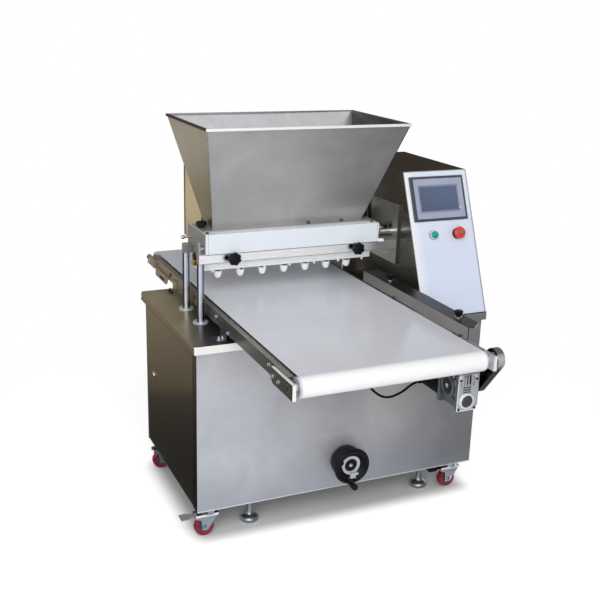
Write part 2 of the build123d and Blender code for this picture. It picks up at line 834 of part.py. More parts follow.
with BuildPart() as chain_guard:
    with BuildSketch(Plane.YZ.offset(guard_left)):
        with Locations((chain_mid_y, chain_mid_z)):
            SlotCenterToCenter(chain_length, 2 * guard_r, rotation=chain_angle)
    extrude(amount=guard_right - guard_left)
    fillet(chain_guard.faces().sort_by(Axis.X)[-1].edges(), 3)
    with BuildSketch(Plane.YZ.offset(guard_left)):
        with Locations((chain_mid_y, chain_mid_z)):
            SlotCenterToCenter(chain_length, 2 * (guard_r - guard_sheet), rotation=chain_angle)
    extrude(amount=guard_right - guard_left - guard_sheet, mode=Mode.SUBTRACT)
    for step in (-18, 18):
        y = chain_mid_y + step * cos(radians(chain_angle))
        z = chain_mid_z + step * sin(radians(chain_angle))
        rod_x(5, rail_right + plate_thickness, guard_right - guard_sheet, y, z)

chain_guard.part.label = "chain_guard"
export_step(chain_guard.part, "parts/chain_guard.step")

# Tray guide: an angle strip along the belt's right edge, with two slots for its knobs
with BuildPart() as tray_guide:
    block(guide_x, guide_x + guide_sheet, guide_front, guide_back, belt_top + 2, guide_top)
    with BuildSketch(Plane.XY.offset(guide_top - guide_sheet)):
        with BuildLine():
            Polyline(
                (guide_x, guide_front + 12), (guide_x + 22, guide_front), (
                    guide_x + guide_reach, guide_front + 30,
                ),
                (guide_x + guide_reach, guide_back), (guide_x, guide_back), close=True,
            )
        make_face()
        slot_length = guide_travel + 2 * (guide_stud_r + 0.5)
        with Locations(*[(guide_stud_x + guide_travel / 2, y) for y in guide_knob_ys]):
            SlotOverall(slot_length, 2 * (guide_stud_r + 0.5), mode=Mode.SUBTRACT)
    extrude(amount=guide_sheet)

tray_guide.part.label = "tray_guide"
export_step(tray_guide.part, "parts/tray_guide.step")


def make_guide_knob(y, place):
    """Writes one tray guide knob: a lobed head on a collar, with its stud."""
    with BuildPart() as knob:
        rod_z(guide_stud_r, guide_stud_x, y, guide_top - 7, guide_top + 2)
        rod_z(guide_knob_r - 4, guide_stud_x, y, guide_top + gap, guide_top + 10)
        with BuildSketch(Plane.XY.offset(guide_top + 9)):
            with Locations((guide_stud_x, y)):
                Circle(guide_knob_r - 2)
                with PolarLocations(guide_knob_r - 3, 6):
                    Circle(3)
        extrude(amount=guide_knob_height - 9)
    knob.part.label = f"guide_knob_{place}"
    export_step(knob.part, f"parts/guide_knob_{place}.step")


for y, place in zip(guide_knob_ys, ("front", "rear")):
    make_guide_knob(y, place)

# Tower shell: side walls, top and back, a window behind the slide plate and strips behind the control panel
with BuildPart() as tower_shell:
    with BuildSketch(Plane.YZ.offset(tower_left)):
        with BuildLine():
            Polyline(
                (tower_front, deck_top), (tower_ridge, tower_top),
                (tower_back, tower_top), (tower_back, deck_top), close=True,
            )
        make_face()
    extrude(amount=tower_right - tower_left)
    block(
        tower_left + sheet, tower_right - sheet, tower_front - 10, tower_back - sheet, deck_top - 1,
        tower_top - sheet,
        mode=Mode.SUBTRACT,
    )
    strip = 14
    with BuildSketch(face_plane.offset(-panel_thickness)):
        with Locations(
            (-(tower_x - tower_left - sheet - strip / 2), panel_length / 2),
            (tower_x - tower_left - sheet - strip / 2, panel_length / 2),
        ):
            Rectangle(strip, panel_length - 30)
    extrude(amount=-sheet)
    block(
        tower_left, tower_left + sheet, head_y - window_half, head_y + window_half, window_bottom,
        window_top,
        mode=Mode.SUBTRACT,
    )

tower_shell.part.label = "tower_shell"
export_step(tower_shell.part, "parts/tower_shell.step")

# Control panel: sloped plate with the touch panel's cut-out, the two button holes and their collars
with BuildPart() as control_panel:
    panel_half = tower_x - tower_left - sheet - gap
    foot_trim = 3 * tan(panel_tilt) + 1
    with BuildSketch(face_plane):
        with Locations((0, panel_length / 2)):
            Rectangle(2 * panel_half, panel_length - 2 * foot_trim)
        with Locations((0, hmi_up)):
            Rectangle(hmi_width - 10, hmi_height - 10, mode=Mode.SUBTRACT)
        with Locations((start_across, button_up), (stop_across, button_up)):
            Circle(11 + running, mode=Mode.SUBTRACT)
    extrude(amount=-panel_thickness)
    with BuildSketch(face_plane):
        with Locations((start_across, button_up), (stop_across, button_up)):
            Circle(15)
            Circle(11 + running, mode=Mode.SUBTRACT)
    extrude(amount=5)

control_panel.part.label = "control_panel"
export_step(control_panel.part, "parts/control_panel.step")

# Touch panel: bezel on the control panel, screen recess and the case behind
with BuildPart() as touch_panel:
    with BuildSketch(face_plane):
        with Locations((0, hmi_up)):
            RectangleRounded(hmi_width, hmi_height, 6)
    extrude(amount=hmi_proud)
    fillet(touch_panel.faces().sort_by(Axis.Y)[0].edges(), 1.5)
    with BuildSketch(face_plane):
        with Locations((0, hmi_up)):
            Rectangle(hmi_width - 12, hmi_height - 12)
    extrude(amount=-hmi_case_depth)
    with BuildSketch(face_plane.offset(hmi_proud)):
        with Locations((0, hmi_up)):
            RectangleRounded(screen_width, screen_height, 1)
    extrude(amount=-1, mode=Mode.SUBTRACT)

touch_panel.part.label = "touch_panel"
export_step(touch_panel.part, "parts/touch_panel.step")

# Start button and stop button: each cap with a stem behind the panel
with BuildPart() as start_button:
    with BuildSketch(face_plane.offset(-30)):
        with Locations((start_across, button_up)):
            Circle(11)
    extrude(amount=38)
    fillet(start_button.faces().sort_by(Axis.Y)[0].edges(), 1.5)

start_button.part.label = "start_button"
export_step(start_button.part, "parts/start_button.step")

with BuildPart() as stop_button:
    with BuildSketch(face_plane.offset(-30)):
        with Locations((stop_across, button_up)):
            Circle(11)
    extrude(amount=46)
    with BuildSketch(face_plane.offset(12)):
        with Locations((stop_across, button_up)):
            Circle(20)
    extrude(amount=14)
    fillet(stop_button.faces().sort_by(Axis.Y)[0].edges(), 5)

stop_button.part.label = "stop_button"
export_step(stop_button.part, "parts/stop_button.step")

# Lift posts: two outside at the left and two inside the tower
with BuildPart() as lift_posts:
    for y in post_ys:
        rod_z(post_r, post_x, y, yoke_top, bar_bottom)
    for y in inner_post_ys:
        rod_z(post_r, inner_post_x, y, yoke_top, carrier_bottom)

lift_posts.part.label = "lift_posts"
export_step(lift_posts.part, "parts/lift_posts.step")

# Lift yoke under the deck: beam, two cross pieces under the posts, and the nut for the lift screw
with BuildPart() as lift_yoke:
    block(post_x - 25, inner_post_x + 25, head_y - 25, head_y + 25, yoke_bottom, yoke_top)
    block(post_x - 25, post_x + 25, post_ys[0] - 25, post_ys[1] + 25, yoke_bottom, yoke_top)
    block(
        inner_post_x - 25, inner_post_x + 25, inner_post_ys[0] - 25, inner_post_ys[1] + 25, yoke_bottom,
        yoke_top,
    )
    rod_z(screw_r + 16, lift_x, head_y, yoke_bottom - 15, yoke_top + 5)
    rod_z(screw_r + running, lift_x, head_y, yoke_bottom - 15, yoke_top + 5, mode=Mode.SUBTRACT)

lift_yoke.part.label = "lift_yoke"
export_step(lift_yoke.part, "parts/lift_yoke.step")

# Lift screw with its bevel wheel and lower journal
with BuildPart() as lift_screw:
    rod_z(screw_r, lift_x, head_y, lift_z - bevel_far, screw_top)
    with Locations((lift_x, head_y, lift_z - (bevel_far + bevel_near) / 2)):
        Cone(bevel_far - gap, bevel_near - gap, bevel_far - bevel_near)
    rod_z(8, lift_x, head_y, lift_z - bevel_far - 14, lift_z - bevel_far)

lift_screw.part.label = "lift_screw"
export_step(lift_screw.part, "parts/lift_screw.step")

# Bevel box of the lift, on the frame's cross tube
with BuildPart() as bevel_box:
    box_top = lift_z + bevel_box_half
    box_bottom = frame_bottom + frame_tube
    block(
        lift_x - bevel_box_half, lift_x + bevel_box_half, head_y - bevel_box_front,
        head_y + bevel_box_half, box_bottom, box_top,
    )
    fillet(bevel_box.edges().filter_by(Axis.Z), 8)
    block(
        lift_x - 38, lift_x + 38, head_y - 48, head_y + 38,
        lift_z - bevel_far - free, box_top - 8, mode=Mode.SUBTRACT,
    )
    rod_z(8 + running, lift_x, head_y, box_bottom + 6, lift_z, mode=Mode.SUBTRACT)
    rod_z(screw_r + running, lift_x, head_y, lift_z, box_top, mode=Mode.SUBTRACT)
    rod_y(shaft_r + running, lift_x, head_y - 58, head_y - 40, lift_z, mode=Mode.SUBTRACT)

bevel_box.part.label = "bevel_box"
export_step(bevel_box.part, "parts/bevel_box.step")

# Handwheel: dished wheel with a dial in its hub, on the shaft that carries the bevel pinion
with BuildPart() as handwheel:
    with BuildSketch(Plane.YZ.offset(lift_x)):
        with BuildLine():
            Polyline(
                (handwheel_y + 52, lift_z), (handwheel_y + 52, lift_z + 34),
                (handwheel_y + 8, lift_z + handwheel_r - 4), (handwheel_y, lift_z + handwheel_r),
                (handwheel_y - 4, lift_z + handwheel_r - 4), (handwheel_y + 10, lift_z + 34),
                (handwheel_y + 10, lift_z + 31), (handwheel_y + 5, lift_z + 31),
                (handwheel_y + 5, lift_z + 25), (handwheel_y + 8, lift_z + 25),
                (handwheel_y + 8, lift_z), close=True,
            )
        make_face()
        with Locations((handwheel_y, lift_z + handwheel_r)):
            Circle(handwheel_rim)
    revolve(axis=Axis((lift_x, 0, lift_z), (0, 1, 0)))
    rod_y(shaft_r, lift_x, handwheel_y + 20, head_y - bevel_near + 4, lift_z)
    with Locations(Location((lift_x, head_y - (bevel_far + bevel_near) / 2, lift_z), (-90, 0, 0))):
        Cone(bevel_far - gap, bevel_near - gap, bevel_far - bevel_near)
    rod_y(3 + running, handle_x, handwheel_y - 12, handwheel_y + 12, handle_z, mode=Mode.SUBTRACT)

handwheel.part.label = "handwheel"
export_step(handwheel.part, "parts/handwheel.step")

# Revolving handle of the handwheel, on its own pin
with BuildPart() as handwheel_handle:
    with BuildSketch(Plane.YZ.offset(handle_x)):
        base = handwheel_y - 10
        with BuildLine():
            Polyline(
                (base, handle_z), (base, handle_z + handle_r - 3),
                (base - 20, handle_z + handle_r), (base - handle_length + 6, handle_z + handle_r + 1),
                (base - handle_length, handle_z + handle_r - 4), (base - handle_length, handle_z),
                close=True,
            )
        make_face()
    revolve(axis=Axis((handle_x, 0, handle_z), (0, 1, 0)))
    rod_y(3, handle_x, base, handwheel_y + 10, handle_z)

handwheel_handle.part.label = "handwheel_handle"
export_step(handwheel_handle.part, "parts/handwheel_handle.step")

# Head bars: front and rear, from the left posts to the slide plate
with BuildPart() as head_bars:
    for y in post_ys:
        block(bar_left, bar_right, y - bar_depth / 2, y + bar_depth / 2, bar_bottom, bar_top)
    fillet(head_bars.edges().filter_by(Axis.X), 1.5)
    for x in star_xs:
        rod_y(
            star_stud_r + running, x, post_ys[0] - bar_depth, post_ys[0] + bar_depth, star_z,
            mode=Mode.SUBTRACT,
        )

head_bars.part.label = "head_bars"
export_step(head_bars.part, "parts/head_bars.step")

# Slide plate on the tower's left wall, with the carrier block that reaches the inner posts through the window
with BuildPart() as slide_plate:
    block(
        bar_right, bar_right + slide_thickness, head_y - slide_half, head_y + slide_half, slide_bottom,
        slide_top,
    )
    block(
        bar_right + slide_thickness, bar_right + slide_thickness + carrier_length,
        head_y - carrier_half, head_y + carrier_half, carrier_bottom, carrier_top,
    )
    rod_x(
        coupling_r - 12, bar_right, bar_right + slide_thickness + carrier_length, head_y, valve_z,
        mode=Mode.SUBTRACT,
    )
    with BuildSketch(Plane.YZ.offset(bar_right)):
        with Locations(*[(head_y + step, slide_top - 5) for step in (-3, 21, 50)]):
            SlotOverall(12, 4, mode=Mode.ADD)
    extrude(amount=3, mode=Mode.SUBTRACT)

slide_plate.part.label = "slide_plate"
export_step(slide_plate.part, "parts/slide_plate.step")

# Manifold: T-shaped block on the bars, with a feed trough, seven ports, the valve bore and seven piston bores
with BuildPart() as manifold:
    block(manifold_left, manifold_right, manifold_front, manifold_back, bar_top, manifold_top)
    block(
        manifold_left, manifold_right, head_y - stem_depth / 2, head_y + stem_depth / 2, stem_bottom,
        bar_top,
    )
    block(
        conveyor_x - hopper_foot_width / 2 + 4, conveyor_x + hopper_foot_width / 2 - 4,
        head_y - hopper_foot_depth / 2 + 6, head_y + hopper_foot_depth / 2 - 6, manifold_top - 8,
        manifold_top,
        mode=Mode.SUBTRACT,
    )
    for x in lane_xs:
        block(x - 22, x + 22, head_y - 12, head_y + 14, valve_z, manifold_top, mode=Mode.SUBTRACT)
        rod_y(piston_r + running, x, head_y, manifold_back, valve_z, mode=Mode.SUBTRACT)
        rod_z(7, x, head_y, stem_bottom, valve_z, mode=Mode.SUBTRACT)
    rod_x(
        valve_r + running, manifold_left + end_wall, manifold_right - end_wall, head_y, valve_z,
        mode=Mode.SUBTRACT,
    )
    rod_x(
        valve_shaft_r + running, manifold_right - end_wall, manifold_right, head_y, valve_z,
        mode=Mode.SUBTRACT,
    )

manifold.part.label = "manifold"
export_step(manifold.part, "parts/manifold.step")

# Rotary valve: rotor with a notch for each lane, drive shaft and coupling
with BuildPart() as valve_rotor:
    rod_x(valve_r, manifold_left + end_wall + gap, manifold_right - end_wall - gap, head_y, valve_z)
    for x in lane_xs:
        block(
            x - 20, x + 20, head_y + 2, head_y + valve_r + 1, valve_z + 2, valve_z + valve_r + 1,
            mode=Mode.SUBTRACT,
        )
    rod_x(
        valve_shaft_r, manifold_right - end_wall - free,
        bar_right + slide_thickness + carrier_length + 50, head_y, valve_z,
    )
    rod_x(coupling_r, manifold_right + 18, manifold_right + 46, head_y, valve_z)
    fillet(
        valve_rotor.edges().filter_by(GeomType.CIRCLE).filter_by(lambda e: e.radius > coupling_r - 1),
        2,
    )

valve_rotor.part.label = "valve_rotor"
export_step(valve_rotor.part, "parts/valve_rotor.step")

# Rotary actuator of the valve, on the carrier block inside the tower
with BuildPart() as valve_actuator:
    actuator_left = bar_right + slide_thickness + carrier_length
    block(actuator_left, actuator_left + 94, head_y - 40, head_y + 40, valve_z - 40, valve_z + 40)
    fillet(valve_actuator.edges().filter_by(Axis.X), 6)
    rod_x(
        valve_shaft_r + running, actuator_left, actuator_left + 51, head_y, valve_z, mode=Mode.SUBTRACT,
    )

valve_actuator.part.label = "valve_actuator"
export_step(valve_actuator.part, "parts/valve_actuator.step")

# Nozzle bar under the manifold's stem, with a drop hole for each lane
with BuildPart() as nozzle_bar:
    block(
        manifold_left, manifold_right, head_y - stem_depth / 2, head_y + stem_depth / 2,
        nozzle_bar_bottom, stem_bottom,
    )
    fillet(nozzle_bar.edges().filter_by(Axis.X).group_by(Axis.Z)[0], 2)
    with Locations(*[(x, head_y, stem_bottom) for x in lane_xs]):
        Hole(7, depth=stem_bottom - nozzle_bar_bottom)

nozzle_bar.part.label = "nozzle_bar"
export_step(nozzle_bar.part, "parts/nozzle_bar.step")

# Nozzles: one under each lane, a collar and a tapered tip with a straight bore
with BuildPart() as nozzles:
    for x in lane_xs:
        with BuildSketch(Plane.XZ.offset(-head_y)):
            with BuildLine():
                Polyline(
                    (x + 7, nozzle_bar_bottom), (x + 15, nozzle_bar_bottom), (
                        x + 15, nozzle_bar_bottom - 6,
                    ),
                    (x + 14, nozzle_bar_bottom - 8), (x + 9.5, nozzle_tip + 5), (x + 8.5, nozzle_tip), (
                        x + 7, nozzle_tip,
                    ),
                    close=True,
                )
            make_face()
        revolve(axis=Axis((x, head_y, 0), (0, 0, 1)))

nozzles.part.label = "nozzles"
export_step(nozzles.part, "parts/nozzles.step")

# Piston set: seven pistons with their rods, the push bar that moves them all, and the drive rods behind it
with BuildPart() as piston_set:
    push_half = nozzle_pitch * (nozzle_count - 1) / 2 + piston_rod_r
    block(
        conveyor_x - push_half, conveyor_x + push_half, push_bar_y, push_bar_y + push_bar_depth,
        valve_z - 16, valve_z + 16,
    )
    fillet(piston_set.edges().filter_by(Axis.X), 3)
    for x in lane_xs:
        rod_y(piston_r, x, piston_front, piston_front + piston_length, valve_z)
        rod_y(piston_rod_r, x, piston_front + piston_length, push_bar_y + 2, valve_z)
    for side in (-1, 1):
        rod_y(cylinder_rod_r, conveyor_x + side * cylinder_x, push_bar_y + 2, cylinder_y + 45, valve_z)

piston_set.part.label = "piston_set"
export_step(piston_set.part, "parts/piston_set.step")

# Drive housing behind the hopper: floor plate on the rear bar, sheet cover, and the two drive cylinders inside
with BuildPart() as drive_housing:
    housing_right = tower_left - housing_gap
    bar_back = post_ys[1] + bar_depth / 2
    block(housing_left, housing_right, housing_front, tower_back, bar_bottom, tower_top)
    fillet(drive_housing.edges().filter_by(Axis.Y).group_by(Axis.Z)[-1].sort_by(Axis.X)[0], 4)
    block(
        housing_left + sheet, housing_right - sheet, housing_front + sheet, tower_back - sheet,
        bar_bottom + 4, tower_top - sheet, mode=Mode.SUBTRACT,
    )
    block(
        housing_left + sheet, housing_right - sheet, housing_front - 1, housing_front + sheet + 1,
        bar_bottom + 4, manifold_top + 4, mode=Mode.SUBTRACT,
    )
    block(housing_left, bar_right - free, bar_back, housing_front + 1, bar_bottom, bar_bottom + 4)
    block(housing_left, bar_right - free, bar_back, bar_back + 4, bar_bottom, bar_top - 4)
    for side in (-1, 1):
        x = conveyor_x + side * cylinder_x
        for y in (cylinder_y + 4, cylinder_y + 0.7 * cylinder_length):
            block(x - cylinder_r - 5, x + cylinder_r + 5, y, y + 10, bar_bottom + 4, valve_z)
        rod_y(cylinder_r, x, cylinder_y, cylinder_y + cylinder_length, valve_z)
        rod_y(
            cylinder_rod_r + running, x, cylinder_y, cylinder_y + cylinder_length - 10, valve_z,
            mode=Mode.SUBTRACT,
        )

drive_housing.part.label = "drive_housing"
export_step(drive_housing.part, "parts/drive_housing.step")

# Hopper: four sloping sheets, each with its rim fold and foot strip, welded along the corner seams
with BuildPart() as hopper:
    foot_top = manifold_top + hopper_flange
    wall_top = hopper_rim_top - hopper_rim_height
    top_width = hopper_rim_width - 2 * hopper_rim_fold
    top_depth = hopper_rim_depth - 2 * hopper_rim_fold
    foot_inner = hopper_foot_depth / 2 - sheet
    top_inner = top_depth / 2 - sheet
    for side in (-1, 1):
        with BuildSketch(Plane.XY.offset(foot_top)):
            with Locations((conveyor_x, head_y + side * (foot_inner + sheet / 2))):
                Rectangle(hopper_foot_width, sheet)
        with BuildSketch(Plane.XY.offset(wall_top)):
            with Locations((conveyor_x, head_y + side * (top_inner + sheet / 2))):
                Rectangle(top_width, sheet)
        loft()
        y0, y1 = sorted((head_y + side * top_inner, head_y + side * hopper_rim_depth / 2))
        x0, x1 = conveyor_x - hopper_rim_width / 2, conveyor_x + hopper_rim_width / 2
        block(x0, x1, y0, y1, wall_top, hopper_rim_top)
        y0, y1 = sorted((head_y + side * foot_inner, head_y + side * (hopper_foot_depth / 2 + foot_strip)))
        x0 = conveyor_x - hopper_foot_width / 2 - foot_tab
        x1 = conveyor_x + hopper_foot_width / 2 + foot_tab
        block(x0, x1, y0, y1, manifold_top, foot_top)
    for side in (-1, 1):
        with BuildSketch(Plane.XY.offset(foot_top)):
            with Locations((conveyor_x + side * (hopper_foot_width - sheet) / 2, head_y)):
                Rectangle(sheet, 2 * (foot_inner - seam))
        with BuildSketch(Plane.XY.offset(wall_top)):
            with Locations((conveyor_x + side * (top_width - sheet) / 2, head_y)):
                Rectangle(sheet, 2 * (top_inner - seam))
        loft()
        x0, x1 = sorted((conveyor_x + side * (top_width / 2 - sheet), conveyor_x + side * hopper_rim_width / 2))
        block(x0, x1, head_y - top_inner + seam, head_y + top_inner - seam, wall_top, hopper_rim_top)
        foot_end = hopper_foot_width / 2 + foot_tab
        x0, x1 = sorted((conveyor_x + side * (hopper_foot_width / 2 - sheet), conveyor_x + side * foot_end))
        block(x0, x1, head_y - foot_inner + seam, head_y + foot_inner - seam, manifold_top, foot_top)

hopper.part.label = "hopper"
export_step(hopper.part, "parts/hopper.step")

# Fittings on the head: hopper clamps, end pin, wing clamp, and a small brass block on a loop
with BuildPart() as head_fittings:
    clamp_x = hopper_foot_width / 2 + clamp_reach
    for side in (-1, 1):
        x = conveyor_x + side * clamp_x
        rod_z(8, x, head_y, foot_top, foot_top + 8)
        with BuildSketch(Plane.XY.offset(foot_top + 8)):
            with Locations((x, head_y)):
                Circle(12)
                with PolarLocations(12, 5):
                    Circle(4.5)
        extrude(amount=16)
    rod_x(9, manifold_right, bar_right, head_y - 60, bar_top + 26)
    rod_x(15, manifold_right, manifold_right + 12, head_y - 60, bar_top + 26)
    rod_x(4, manifold_left - 20, manifold_left, head_y + 72, bar_top + 22)
    rod_x(6, manifold_left - 28, manifold_left - 18, head_y + 72, bar_top + 22)
    wing_y = head_y - wing_set
    wing_z = bar_top + wing_rise
    rod_x(9, manifold_left - 8, manifold_left, wing_y, wing_z)
    block(
        manifold_left - 14, manifold_left - 7, wing_y - 3, wing_y + 3, wing_z - wing_length / 2,
        wing_z + wing_length / 2,
    )
    loop_y = head_y - loop_set
    loop_z = bar_top - loop_drop
    loop_inner = loop_r - loop_wire
    block(manifold_left - 5, manifold_left, loop_y - 5, loop_y + 5, loop_z + 6, loop_z + 16)
    rod_x(loop_r, manifold_left - 14, manifold_left - 10, loop_y, loop_z)
    rod_x(loop_inner, manifold_left - 14, manifold_left - 10, loop_y, loop_z, mode=Mode.SUBTRACT)
    block(manifold_left - 12, manifold_left - 5, loop_y - 2, loop_y + 2, bar_top + 0.5, loop_z + loop_r)
    block(
        manifold_left - 17, manifold_left - 7, loop_y - 10, loop_y + 10, loop_z - loop_inner - brass_height,
        loop_z - loop_inner,
    )

head_fittings.part.label = "head_fittings"
export_step(head_fittings.part, "parts/head_fittings.step")


def make_star_knob(x, place):
    """Writes one star knob of the front bar: a lobed head on a hub, with its clamping stud."""
    face = post_ys[0] - bar_depth / 2
    with BuildPart() as knob:
        rod_y(star_stud_r, x, face - 10, head_y - stem_depth / 2 - gap, star_z)
        rod_y(star_r - 9, x, face - 10, face - gap, star_z)
        with BuildSketch(Plane.XZ.offset(-(face - 10))):
            with Locations((x, star_z)):
                Circle(star_r - 5)
                with PolarLocations(star_r - 5, 6, start_angle=30):
                    Circle(5)
        extrude(amount=16)
    knob.part.label = f"star_knob_{place}"
    export_step(knob.part, f"parts/star_knob_{place}.step")


for x, place in zip(star_xs, ("left", "right")):
    make_star_knob(x, place)

# Conveyor bolts: plate bolts, rail bolts, bracket nuts and the rear tension bolts, on both sides
with BuildPart() as conveyor_bolts:
    for face, outward, front_bolts in (
        (rail_left, -1, (180 - conveyor_half, -81)),
        (rail_right, 1, (162 - conveyor_half, -40)),
    ):
        rail_bolt_ys = (*front_bolts, 131, rear_start - 25)
        heads = [
            (face + outward * plate_thickness, -conveyor_half + 93, roller_z - 6),
            (face + outward * plate_thickness, -conveyor_half + 131, roller_z - 4),
        ]
        heads += [(face, y, rail_top - 15) for y in rail_bolt_ys]
        for x, y, z in heads:
            x0, x1 = sorted((x, x + outward * 5))
            rod_x(7, x0, x1, y, z)
        for y in bracket_ys:
            for step in (-11, 11):
                rod_z(6, face + outward * 18, y + step, deck_top + 5, deck_top + 18)
        x = face + outward * plate_thickness / 2
        rod_y(4, x, roller_y + 20, conveyor_half, roller_z + 6)
        rod_y(8, x, roller_y + 20, roller_y + 25, roller_z + 6)

conveyor_bolts.part.label = "conveyor_bolts"
export_step(conveyor_bolts.part, "parts/conveyor_bolts.step")
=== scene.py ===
"""Looks of a batter depositor: sheets, plastics, drive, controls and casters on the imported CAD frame."""

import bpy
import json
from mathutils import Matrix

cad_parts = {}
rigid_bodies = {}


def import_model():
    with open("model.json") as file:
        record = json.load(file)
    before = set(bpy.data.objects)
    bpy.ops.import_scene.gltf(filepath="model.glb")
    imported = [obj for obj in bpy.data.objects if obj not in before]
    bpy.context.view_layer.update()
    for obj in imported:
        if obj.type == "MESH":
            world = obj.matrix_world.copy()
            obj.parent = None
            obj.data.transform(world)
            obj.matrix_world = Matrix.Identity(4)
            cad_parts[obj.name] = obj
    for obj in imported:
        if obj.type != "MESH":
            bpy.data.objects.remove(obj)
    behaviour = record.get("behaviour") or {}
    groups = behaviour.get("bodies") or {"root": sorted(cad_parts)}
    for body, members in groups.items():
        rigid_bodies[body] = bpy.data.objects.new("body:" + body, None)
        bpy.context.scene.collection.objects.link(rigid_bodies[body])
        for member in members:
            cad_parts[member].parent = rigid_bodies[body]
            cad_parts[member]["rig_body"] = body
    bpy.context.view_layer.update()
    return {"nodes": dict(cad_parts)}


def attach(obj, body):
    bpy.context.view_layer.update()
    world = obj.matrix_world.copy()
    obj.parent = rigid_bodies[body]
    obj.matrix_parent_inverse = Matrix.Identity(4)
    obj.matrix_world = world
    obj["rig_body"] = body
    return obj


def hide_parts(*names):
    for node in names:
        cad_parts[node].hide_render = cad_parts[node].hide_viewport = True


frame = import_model()

import json
from math import atan2, cos, hypot, pi, radians, sin

import bmesh
import bpy
from mathutils import Matrix, Vector

bl_info = {
    "name": "Batter Depositor",
    "version": (1, 0, 0),
    "blender": (4, 5, 0),
    "location": "3D View > Sidebar > Depositor",
    "description": "Dresses the packed batter depositor with finishes, fittings and a studio",
    "category": "Object",
}

MM = 0.001
UP, DOWN = (0, 0, 1), (0, 0, -1)
LEFT, RIGHT = (-1, 0, 0), (1, 0, 0)
FRONT, BACK = (0, -1, 0), (0, 1, 0)
DECK_TOP = 657
TOWER_MIDDLE = 400
PANEL_RUN, PANEL_RISE = 186, 449
TILT = atan2(PANEL_RUN, PANEL_RISE)
PANEL = Matrix((
    (1, 0, 0, TOWER_MIDDLE * MM),
    (0, sin(TILT), -cos(TILT), (-PANEL_RUN + cos(TILT)) * MM),
    (0, cos(TILT), sin(TILT), (DECK_TOP - sin(TILT)) * MM),
    (0, 0, 0, 1),
))
START_AT, STOP_AT = (-38, 271, 0), (53, 271, 0)
BELT_MIDDLE, HEAD_MIDDLE = -96.5, 95
LANE_COUNT, LANE_PITCH = 7, 76.5
MANIFOLD_LEFT, MANIFOLD_RIGHT = -396, 203
SLIDE_FACE = 272
RAIL_LEFT, RAIL_RIGHT = -391, 198
# Axes that lie across the machine: Y and height
VALVE_AT, ROLLER_AT, SHAFT_AT = (HEAD_MIDDLE, 897), (-656, 698.7), (-583, 605)
HUB = (15, -240, 205)
WHEEL_RADIUS = 32
CASTER_TRAIL = 16
# A face looks along an axis where its normal has more than this share of it
SQUARE_ON = 0.6
CORNERS = {
    "front_left": (-435, -134), "front_right": (465, -134), "rear_left": (-435, 356), "rear_right": (465, 356),
}
FEET = [(x, y) for x in (-284, 358) for y in (-102, 324)]
CABLE = [
    (124, -445, 566), (96, -445, 563), (58, -446, 537), (8, -444, 524), (-31, -436, 548), (-47, -406, 579),
    (-55, -364, 605), (-58, -317, 612), (-56, -270, 601), (-56, -222, 590), (-56, -180, 590),
]
# Bolt sizes: washer radius and height, head radius and height, sides, stud radius and height
RAIL_BOLT = (7.0, 1.0, 5.2, 3.6, 6, 2.6, 0.4)
BRACKET_NUT = (7.5, 1.2, 6.0, 5.0, 6, 3.2, 6.5)


def add_node(tree, kind, settings=None, sockets=None):
    """Adds one node: its settings first, then the values or links of its sockets."""
    node = tree.nodes.new(kind)
    for key, value in (settings or {}).items():
        setattr(node, key, value)
    pairs = sockets.items() if isinstance(sockets, dict) else enumerate(sockets or [])
    for key, value in pairs:
        value = getattr(value, "socket", value)
        if isinstance(value, bpy.types.NodeSocket):
            tree.links.new(value, node.inputs[key])
        elif isinstance(value, (tuple, list)) and node.inputs[key].type == "RGBA":
            node.inputs[key].default_value = (*value[:3], 1.0)
        else:
            node.inputs[key].default_value = value
    return node


def maths(tree, operation, *values):
    """The result of a sum on values."""
    return add_node(tree, "ShaderNodeMath", {"operation": operation}, values).outputs[0]


def vectors(tree, operation, *values):
    """The result of a sum on vectors."""
    made = add_node(tree, "ShaderNodeVectorMath", {"operation": operation}, values)
    return made.outputs["Value" if operation == "LENGTH" else "Vector"]


def smooth_rise(tree, value, low, high, top=1.0):
    """0 below low, top above high, smooth between."""
    return add_node(
        tree, "ShaderNodeMapRange", {"interpolation_type": "SMOOTHSTEP"},
        {"Value": value, 1: low, 2: high, 3: 0.0, 4: top},
    ).outputs[0]


def bare_material(name):
    """A new material and its empty tree."""
    material = bpy.data.materials.new(name)
    material.use_nodes = True
    material.node_tree.nodes.clear()
    return material, material.node_tree


def placed(name, data):
    """A new object in the scene."""
    item = bpy.data.objects.new(name, data)
    bpy.context.scene.collection.objects.link(item)
    return item


class Wire:
    """A socket of a finish that takes part in sums."""

    def __init__(self, finish, socket):
        self.finish = finish
        self.socket = socket

    def sum_of(self, operation, *values):
        """The result of a sum, as a wire of the same finish."""
        return Wire(self.finish, maths(self.finish.tree, operation, *values))

    def __add__(self, other):
        return self.sum_of("ADD", self, other)

    __radd__ = __add__

    def __sub__(self, other):
        return self.sum_of("SUBTRACT", self, other)

    def __rsub__(self, other):
        return self.sum_of("SUBTRACT", other, self)

    def __mul__(self, other):
        return self.sum_of("MULTIPLY", self, other)

    __rmul__ = __mul__

    def above(self, low, high):
        """0 below low, 1 above high, smooth between."""
        return Wire(self.finish, smooth_rise(self.finish.tree, self, low, high))


